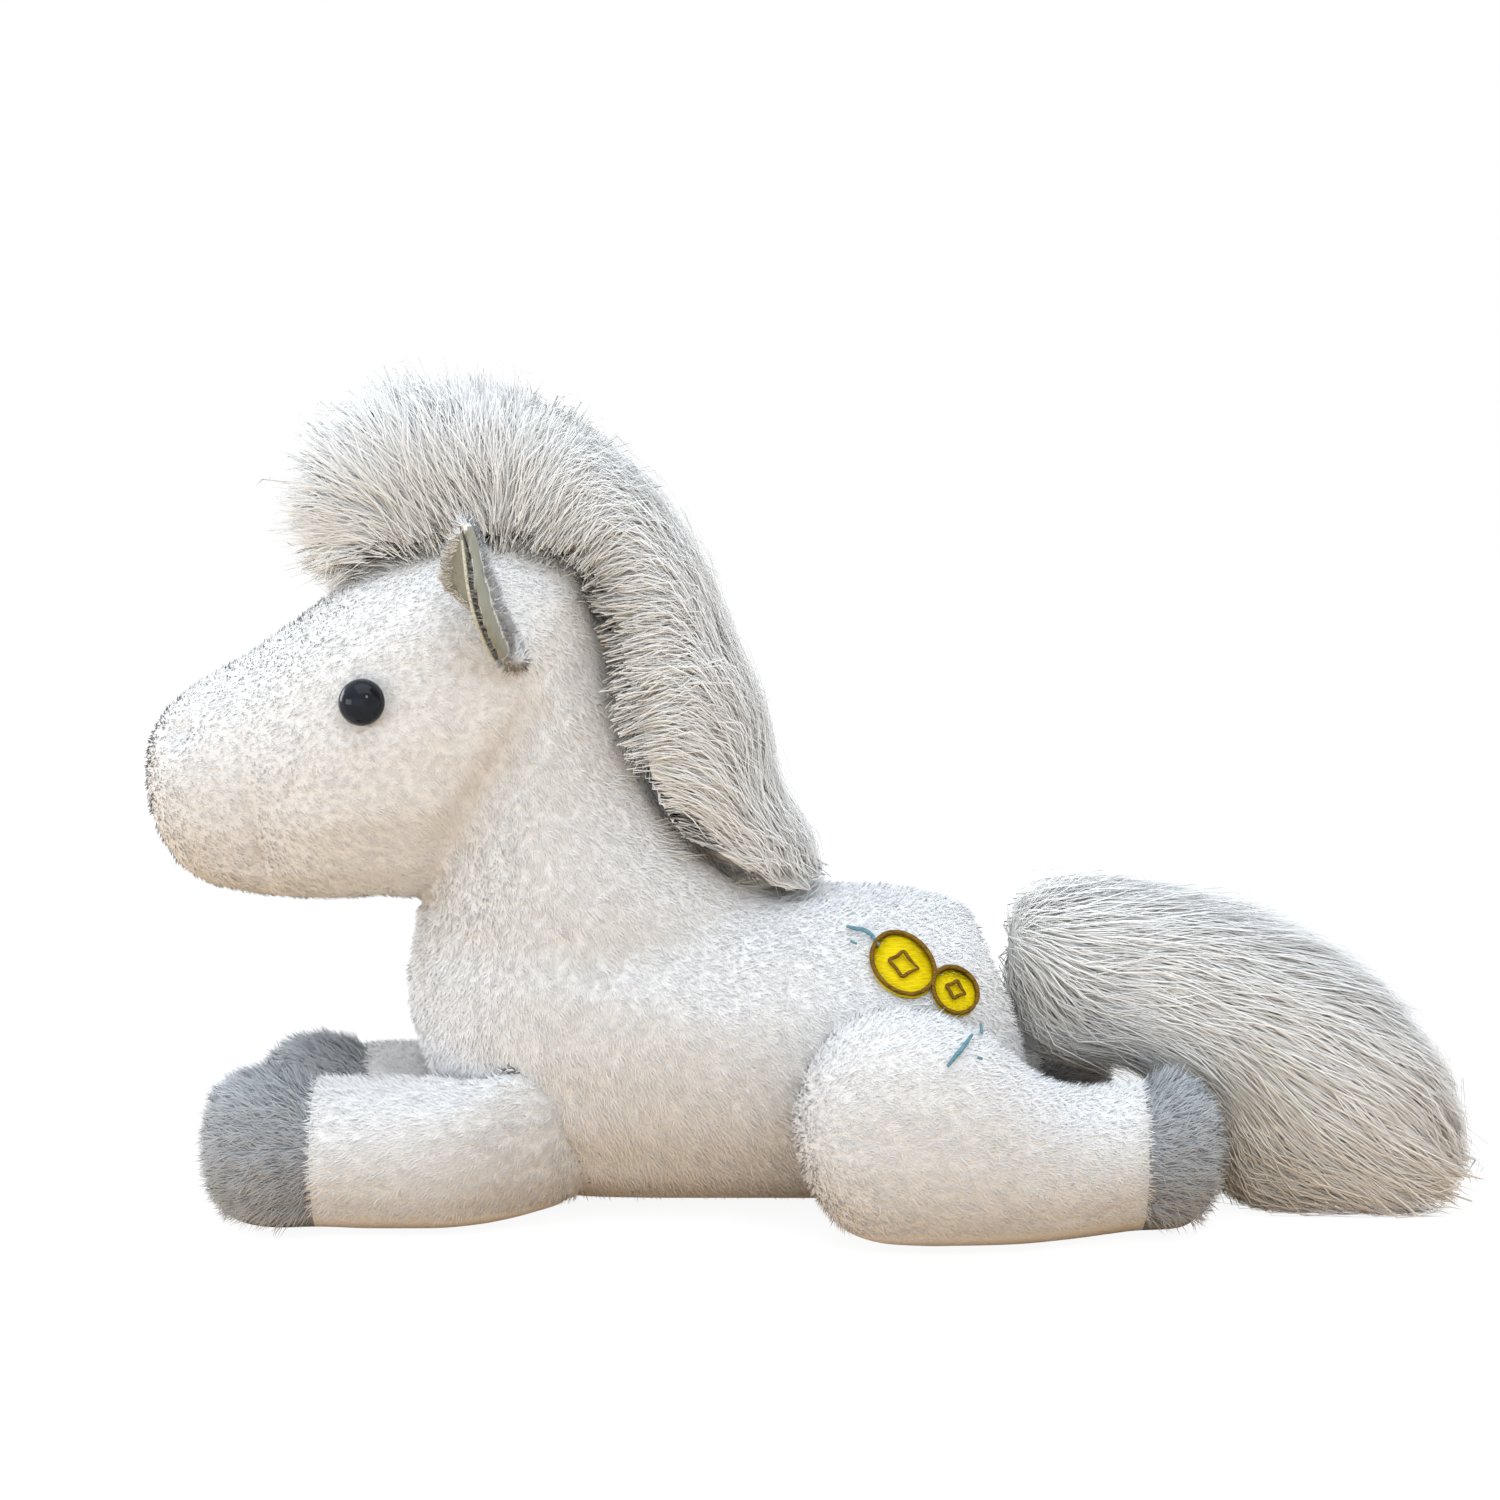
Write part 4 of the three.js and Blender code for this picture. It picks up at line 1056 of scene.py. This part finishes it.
for side, way in (("left", -1), ("right", 1)):
    mirror = Vector((1, way, 1))
    outward = eye["outward"] * mirror
    apex = eye["solidMiddle"] * mirror + outward * eye["apex"]
    foot = (apex - outward * eye["profile"][0][1]) * mm
    dome = spun(side + "EyeDome", eye["profile"], eye["steps"], foot, outward)
    dome.data.materials.append(eyeBlack)
    worn(dome, "head")
    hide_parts(side + "_eye")
    washer = frame["nodes"][side + "_eye_washer"]
    if not washer.material_slots:
        washer.data.materials.append(washerPlastic)
    for place in washer.material_slots:
        place.material = washerPlastic
print("eyes ready")

# Ears: a plush back that wraps the rim, a satin lining, and a pale thread on its fold as a painted highlight

ear = {
    "seamWay": Vector((-0.479195, 0.208489, 0.852587)),
    "facing": Vector((-0.86, -0.3, -0.41)),
    "lean": math.radians(46),
    "voxel": 1.0 * mm,
    "nearBand": 3.7 * mm,  # how much of the near rim wears the lining
    "fringe": 3 * mm,  # how much of the far rim is under white pile
    "foldRadius": 0.4 * mm,
    "foldStops": 14,
    "foldEnds": (1 * mm, 0.6 * mm),  # how far it stays from the lining's foot and tip
    "foldReach": 1.2 * mm,
    "foldOut": 0.2 * mm,
    "foldSide": 1 * mm,  # how far past the fold the lining's band starts
    "bandFoot": 2 * mm,
    "bandLooks": -0.2,
    "liningRoom": 0.8 * mm,  # bare beside the lining and its band
    "bandRoom": 0.7 * mm,
    "rimStops": 20,
    "rimReach": 1.5 * mm,
}


def distances(points, tree):
    return np.array([tree.find_nearest(point)[3] for point in points])


def thread(name, points, radius, material, body):  # a tube through points, with round ends
    curve = bpy.data.curves.new(name, "CURVE")
    curve.dimensions, curve.bevel_depth, curve.bevel_resolution = "3D", radius, 2
    curve.use_fill_caps = True
    line = curve.splines.new("NURBS")
    line.points.add(len(points) - 1)
    for point, place in zip(line.points, points):
        point.co = (*place, 1)
    for end in (0, -1):
        line.points[end].radius = 0.6
    line.order_u, line.use_endpoint_u, line.resolution_u = min(3, len(points)), True, 4
    drawn = linked(name, curve)
    mesh = bpy.data.meshes.new_from_object(drawn.evaluated_get(bpy.context.evaluated_depsgraph_get()))
    bpy.data.objects.remove(drawn)
    mesh.name = name
    mesh.materials.clear()
    mesh.materials.append(material)
    mesh.shade_smooth()
    return worn(linked(name, mesh), body)


def buildEar(side, way, salt):
    mirror = np.array((1, way, 1))  # the measures above are for the left ear
    body, node = side + "_ear", side + "_ear_lining"
    facing = np.array(ear["facing"].normalized()) * mirror
    seamWay = np.array(ear["seamWay"].normalized()) * mirror
    out = np.cross(seamWay, facing) * way
    midrib = seamWay * math.cos(ear["lean"]) + out * math.sin(ear["lean"])
    nearWay = out * math.cos(ear["lean"]) - seamWay * math.sin(ear["lean"])
    liningTree = treeOf(frame["nodes"][node].data)

    bm = bmesh.new()
    bm.from_mesh(frame["nodes"][node].data)
    bmesh.ops.remove_doubles(bm, verts=bm.verts, dist=touch)
    bmesh.ops.join_triangles(bm, faces=bm.faces, angle_face_threshold=math.pi, angle_shape_threshold=math.pi)
    for face in bm.faces:
        face.smooth = True
    lining = meshObject(side + "EarLining", bm)
    subdivided(lining, 2)
    lining.data.materials.append(earSatin)
    worn(lining, body)
    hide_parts(node)

    edge = places(lining.data)
    along, across = edge @ midrib, edge @ nearWay
    fold = []
    foot, tip = ear["foldEnds"]
    for stop in np.linspace(along.min() + foot, along.max() - tip, ear["foldStops"]):
        near = np.flatnonzero(np.abs(along - stop) < ear["foldReach"])
        fold.append(edge[near[np.argmax(across[near])]])
    fold = np.array(fold)
    fold[1:-1] = (fold[:-2] + fold[1:-1] * 2 + fold[2:]) / 4
    # painted highlight where the lining's folded edge catches the light
    thread(side + "EarFold", fold + nearWay * ear["foldOut"], ear["foldRadius"], paintedFoldHighlight, body)

    back = nodeCopy(side + "EarBack", [side + "_ear_back"])
    smoothed(remeshed(back, ear["voxel"]), 3)
    points, normals = places(back.data), normalsOf(back.data)
    away = distances(points, liningTree)
    foldLine = np.interp(points @ midrib, fold @ midrib, fold @ nearWay)
    banded = (away < ear["nearBand"]) & (normals @ nearWay > ear["bandLooks"])
    banded &= points @ nearWay > foldLine - ear["foldSide"]
    banded &= points @ midrib > along.min() + ear["bandFoot"]
    back.data.materials.append(shortPlush)
    back.data.materials.append(earSatin)
    for polygon in back.data.polygons:
        polygon.material_index = int(all(banded[vertex] for vertex in polygon.vertices))
    back.data.shade_smooth()
    worn(back, body)
    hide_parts(side + "_ear_back")
    sources[body] = back
    band = points[banded]

    def clearOfLining(roots):
        bandAway = np.linalg.norm(roots[:, None] - band[None], axis=2).min(1)
        return (distances(roots, liningTree) > ear["liningRoom"]) & (bandAway > ear["bandRoom"])

    stops = np.linspace(along.min(), along.max(), ear["rimStops"])
    farEdge = np.array([across[np.abs(along - stop) < ear["rimReach"]].min() for stop in stops])

    def onFarRim(roots):
        return roots @ nearWay < np.interp(roots @ midrib, stops, farEdge) + ear["fringe"]

    fringe = body + "_lining"
    sources[fringe] = lining
    shortCoat(side + "EarFringe", fringe, fringeCoat, salt + 2, lying(midrib - nearWay), body, keep=onFarRim)
    shortCoat(side + "EarPile", body, earCoat, salt, lying(midrib), body, (), ["body"], clearOfLining)


buildEar("left", 1, 41)
buildEar("right", -1, 42)
print("ears ready")

# Embroidery, laid on the pile of the left hip and thigh


def buildEmbroidery():
    bodyTree, legTree = surfaces["body"][0], surfaces["left_hind"][0]
    threadRadius = embroidery["threadRadius"]
    for number, disc in enumerate(embroidery["discs"]):
        turned = Matrix.Rotation(math.radians(disc["turn"]), 2)

        def onDisc(flat, lift):
            flat.rotate(turned)
            return onSide((disc["middle"][0] + flat.x, disc["middle"][1] + flat.y), bodyTree, lift)

        def threadPlace(angle, share):
            flat = Vector((math.cos(angle) * disc["long"], math.sin(angle) * disc["short"])) * share
            return onDisc(flat, embroidery["lift"] + embroidery["threadLift"])

        bm = bmesh.new()
        bmesh.ops.create_circle(bm, cap_ends=True, segments=embroidery["segments"], radius=1)
        middle = bm.faces[:]
        rings, ringWidth = embroidery["rings"]
        for _ in range(rings):
            bmesh.ops.inset_region(bm, faces=middle, thickness=ringWidth, use_even_offset=True)
        for vert in bm.verts:
            puff = embroidery["lift"] - embroidery["puff"] * vert.co.length**4
            vert.co = onDisc(Vector((vert.co.x * disc["long"], vert.co.y * disc["short"])), puff)
        for face in bm.faces:
            face.smooth = True
        bmesh.ops.solidify(bm, geom=bm.faces[:], thickness=embroidery["thickness"])
        bmesh.ops.recalc_face_normals(bm, faces=bm.faces)
        gold = meshObject(f"goldDisc{number}", bm)
        gold.data.materials.append(goldThread)
        worn(gold, "torso")

        around = np.linspace(0, math.tau, embroidery["segments"])
        rimLine = [threadPlace(angle, embroidery["rim"]) for angle in around]
        thread(f"discRim{number}", rimLine, threadRadius * mm, brownThread, "torso")
        hole, holeShare = [], disc["hole"] / disc["short"]
        for half in range(9):  # corners and, nearer, the middles of the sides
            angle = half / 2 * math.pi / 2 + embroidery["holeTurn"]
            hole.append(threadPlace(angle, holeShare * (embroidery["holeSide"] if half % 2 else 1)))
        thinner = threadRadius * embroidery["holeThread"]
        thread(f"discHole{number}", hole, thinner * mm, brownThread, "torso")
    for group, tree, body in (("upperWisps", bodyTree, "torso"), ("lowerWisps", legTree, "left_hind_leg")):
        for number, wisp in enumerate(embroidery[group]):
            line = [onSide(place, tree, embroidery["lift"]) for place in wisp]
            thread(group[:-1] + str(number), line, threadRadius * mm, blueThread, body)


buildEmbroidery()
print("embroidery ready")

# Long pile, combed by marks that also say how far the strands may stand off the base, in mm


def lineShade(points, line, width):  # painted shade: 1 on a line across the piece, falling off beside it
    nearest = np.full(len(points), np.inf)
    flat = points[:, [0, 2]]
    for start, end in zip(line, line[1:]):
        start, run = np.array(start) * mm, (np.array(end) - np.array(start)) * mm
        share = np.clip(((flat - start) @ run) / (run @ run), 0, 1)
        nearest = np.minimum(nearest, np.linalg.norm(flat - start - share[:, None] * run, axis=1))
    return np.exp(-((nearest / (width * mm)) ** 2))


def longCoat(name, base, coat, salt, body, cuts=(), within=()):
    kind, tree = longKind, surfaces[base][0]
    points, normals, chance, number, pull = rooted(base, coat, salt, kind, cuts, within, kind["hidden"])
    count, steps = len(points), coat["steps"]
    locks = nearestTuft(points, coat["tuft"] * kind["lock"], salt + 9)[1]
    byTuft, byLock = kind["turns"]
    turn = ((number - 0.5) * byTuft + (locks - 0.5) * byLock) * coat["swirl"]
    turn += chance.normal(0, coat["mess"], count)
    lift = coat["lift"] * varied(chance, count, *kind["lift"])
    stray = 1 + coat["stray"] * (chance.random(count) < kind["strays"])
    low, more = kind["byTuft"]
    length = coat["length"] * varied(chance, count, *kind["length"]) * (low + more * number) * stray
    level = chance.random(count) ** 0.8 * stray
    paths, ups = np.empty((count, steps + 1, 3)), np.empty((count, steps + 1, 3))
    paths[:, 0], ups[:, 0] = points - normals * pile["sunk"], normals
    place = points.copy()
    for step in range(1, steps + 1):
        flow, stand = combed(place, coat["marks"])
        flow[:, 1] += coat["part"] * np.tanh(place[:, 1] / kind["parting"])
        normal = ups[:, step - 1]
        flow = flow + np.cross(normal, flow) * turn[:, None]
        facing = (flow * normal).sum(1, keepdims=True)
        flow += coat["climb"](place) * np.maximum(-facing, 0) * kind["climb"]  # up a wall that faces the flow
        outward = (flow * normal).sum(1, keepdims=True)
        rise = lift[:, None] * (1 - step / steps)
        way = unit(flow - normal * outward + normal * np.maximum(outward, rise))
        place = place + way * (length / steps)[:, None]
        for index in range(count):
            under, normal, _, _ = tree.find_nearest(place[index])
            height = (Vector(place[index]) - under).dot(normal)
            most = stand[index] * level[index]
            least = min(kind["rise"] * step, most)
            place[index] = under + normal * min(max(height, least), most)
            ups[index, step] = normal
        paths[:, step] = place
    share = np.linspace(0, 1, steps + 1) ** 1.3 * coat["gather"]
    paths += pull[:, None] * share[None, :, None]
    byTuft, byLock, byStrand, paintedLevelShade = kind["tones"]
    tones = coat["tone"] + byTuft * (number - 0.5) + byLock * (locks - 0.5)
    tones += byStrand * (chance.random(count) - 0.5)
    # painted shade: strands that lie lower in the coat are darker, those that stand higher paler
    tones += paintedLevelShade * (np.minimum(level, 1) - 0.5)
    # painted shade in the recesses: darker along the mane's front edge and along the tail's recesses
    for line, width, depth in coat["paintedRecessShades"]:
        tones -= depth * lineShade(points, line, width)
    widths = strandWidths(chance, count, coat, kind)
    piece = strands(name, paths, ups, widths, tones, longPile, coat["softness"])
    return worn(piece, body)


def offBody(points):
    return np.array([surfaces["body"][0].find_nearest(point)[1] for point in points])


tailAxis = (0, 0, 0.066)  # it runs along x


def offTailAxis(points):
    return unit((points - np.array(tailAxis)) * np.array((0, 1, 1)))


maneCoat = {
    "climb": offBody,
    "count": 26000,  # on the whole of mane and crown
    "steps": 2,
    "length": 26 * mm,
    "width": 0.5 * mm,
    "stray": 0.45,
    "softness": 0.5,
    "lift": 0.5,
    "tuft": 6 * mm,
    "gather": 0.45,
    "swirl": 0.5,
    "mess": 0.12,
    "part": 0.25,
    "tone": 0.84,
    "marks": [
        (-126, 186, 180, 13), (-122, 170, 195, 11), (-116, 200, 140, 13), (-100, 212, 112, 12),
        (-80, 215, 90, 11), (-60, 210, 60, 8), (-45, 197, 15, 6), (-33, 180, -25, 5), (-90, 185, 120, 8),
        (-64, 175, 60, 7), (-48, 157, 15, 6), (-20, 165, -40, 5), (-45, 134, 20, 7), (-20, 134, -25, 6),
        (-5, 125, -60, 5), (-42, 108, -5, 7), (-15, 105, -35, 6), (2, 95, -45, 6), (-25, 92, -20, 6),
    ],
    # painted shade along the recess at the mane's front edge: a line in x and z, its width in mm and its depth in tone
    "paintedRecessShades": [
        ([(-65, 173), (-48.5, 157), (-45, 134), (-44.5, 120), (-45, 106), (-40, 104)], 5, 0.2),
        ([(-40, 104), (-25, 90)], 5, 0.12),
    ],
}
crownCoat = {**maneCoat, "length": 22 * mm, "lift": 0.8, "mess": 0.2}
tailCoat = {
    **maneCoat,
    "climb": offTailAxis,
    "count": 13000,
    "length": 34 * mm,
    "width": 0.62 * mm,
    "lift": 0.35,
    "tuft": 7 * mm,
    "part": 0.18,
    "tone": 0.76,
    "marks": [
        (51, 86, 35, 5), (54, 76, -35, 5), (58, 60, -60, 5), (62, 50, -35, 5), (75, 47, -5, 6), (90, 60, -8, 6),
        (60, 90, 15, 6), (80, 88, 10, 9), (80, 68, -5, 6), (100, 84, 8, 12), (110, 62, -14, 7),
        (106, 51, -22, 6), (111, 41, -48, 6), (116, 25, -55, 6), (136, 41, -32, 8), (149, 28, -40, 9),
        (156, 22, -30, 11), (123, 12, -18, 7), (120, 78, 4, 14), (140, 68, -10, 14), (158, 52, -30, 13),
        (168, 30, -42, 12), (165, 12, -20, 13),
    ],
    # painted shade along three recesses of the tail
    "paintedRecessShades": [
        ([(53, 82), (57, 62), (62, 48)], 4, 0.35),
        ([(104, 50), (112, 36), (116, 20), (122, 6)], 7, 0.45),
        ([(60, 45), (95, 45)], 5, 0.25),
    ],
}
for salt, layer in enumerate(("Under", "Over")):
    longCoat("crown" + layer, "mane", crownCoat, 31 + salt, "head", beforeNeck, ["body"])
    longCoat("mane" + layer, "mane", maneCoat, 33 + salt, "bend", behindNeck, ["body"])
    longCoat("tail" + layer, "tail", tailCoat, 35 + salt, "tail", (), ["body", "left_hind", "right_hind"])
edgeCoat = {
    **bodyCoat,
    "count": 90000,
    "length": 8 * mm,
    "width": 0.6 * mm,
    "lean": 55,
    "tuft": 4 * mm,
    "mess": 0.25,
    "softness": 0.6,
    "reach": 7 * mm,  # in front of the mane
}


def besideMane(points):
    tree, low, high = surfaces["mane"]
    near = np.all((points > low - edgeCoat["reach"]) & (points < high + edgeCoat["reach"]), axis=1)
    near[near] = distances(points[near], tree) < edgeCoat["reach"]
    return near


def maneWay(points):
    return combed(points, maneCoat["marks"])[0]


shorterEdge = {**edgeCoat, "length": 5 * mm}
shortCoat("neckEdge", "body", edgeCoat, 51, maneWay, "bend", behindNeck, ["mane"], besideMane, slot=longSlot)
shortCoat("headEdge", "body", shorterEdge, 52, maneWay, "head", beforeNeck, ["mane"], besideMane, slot=longSlot)
print("long pile ready")

for source in sources.values():
    if "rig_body" not in source:
        bpy.data.objects.remove(source)
shown = [piece for piece in scene.objects if piece.type == "MESH" and not piece.hide_render]
print("triangles", sum(len(polygon.vertices) - 2 for piece in shown for polygon in piece.data.polygons))
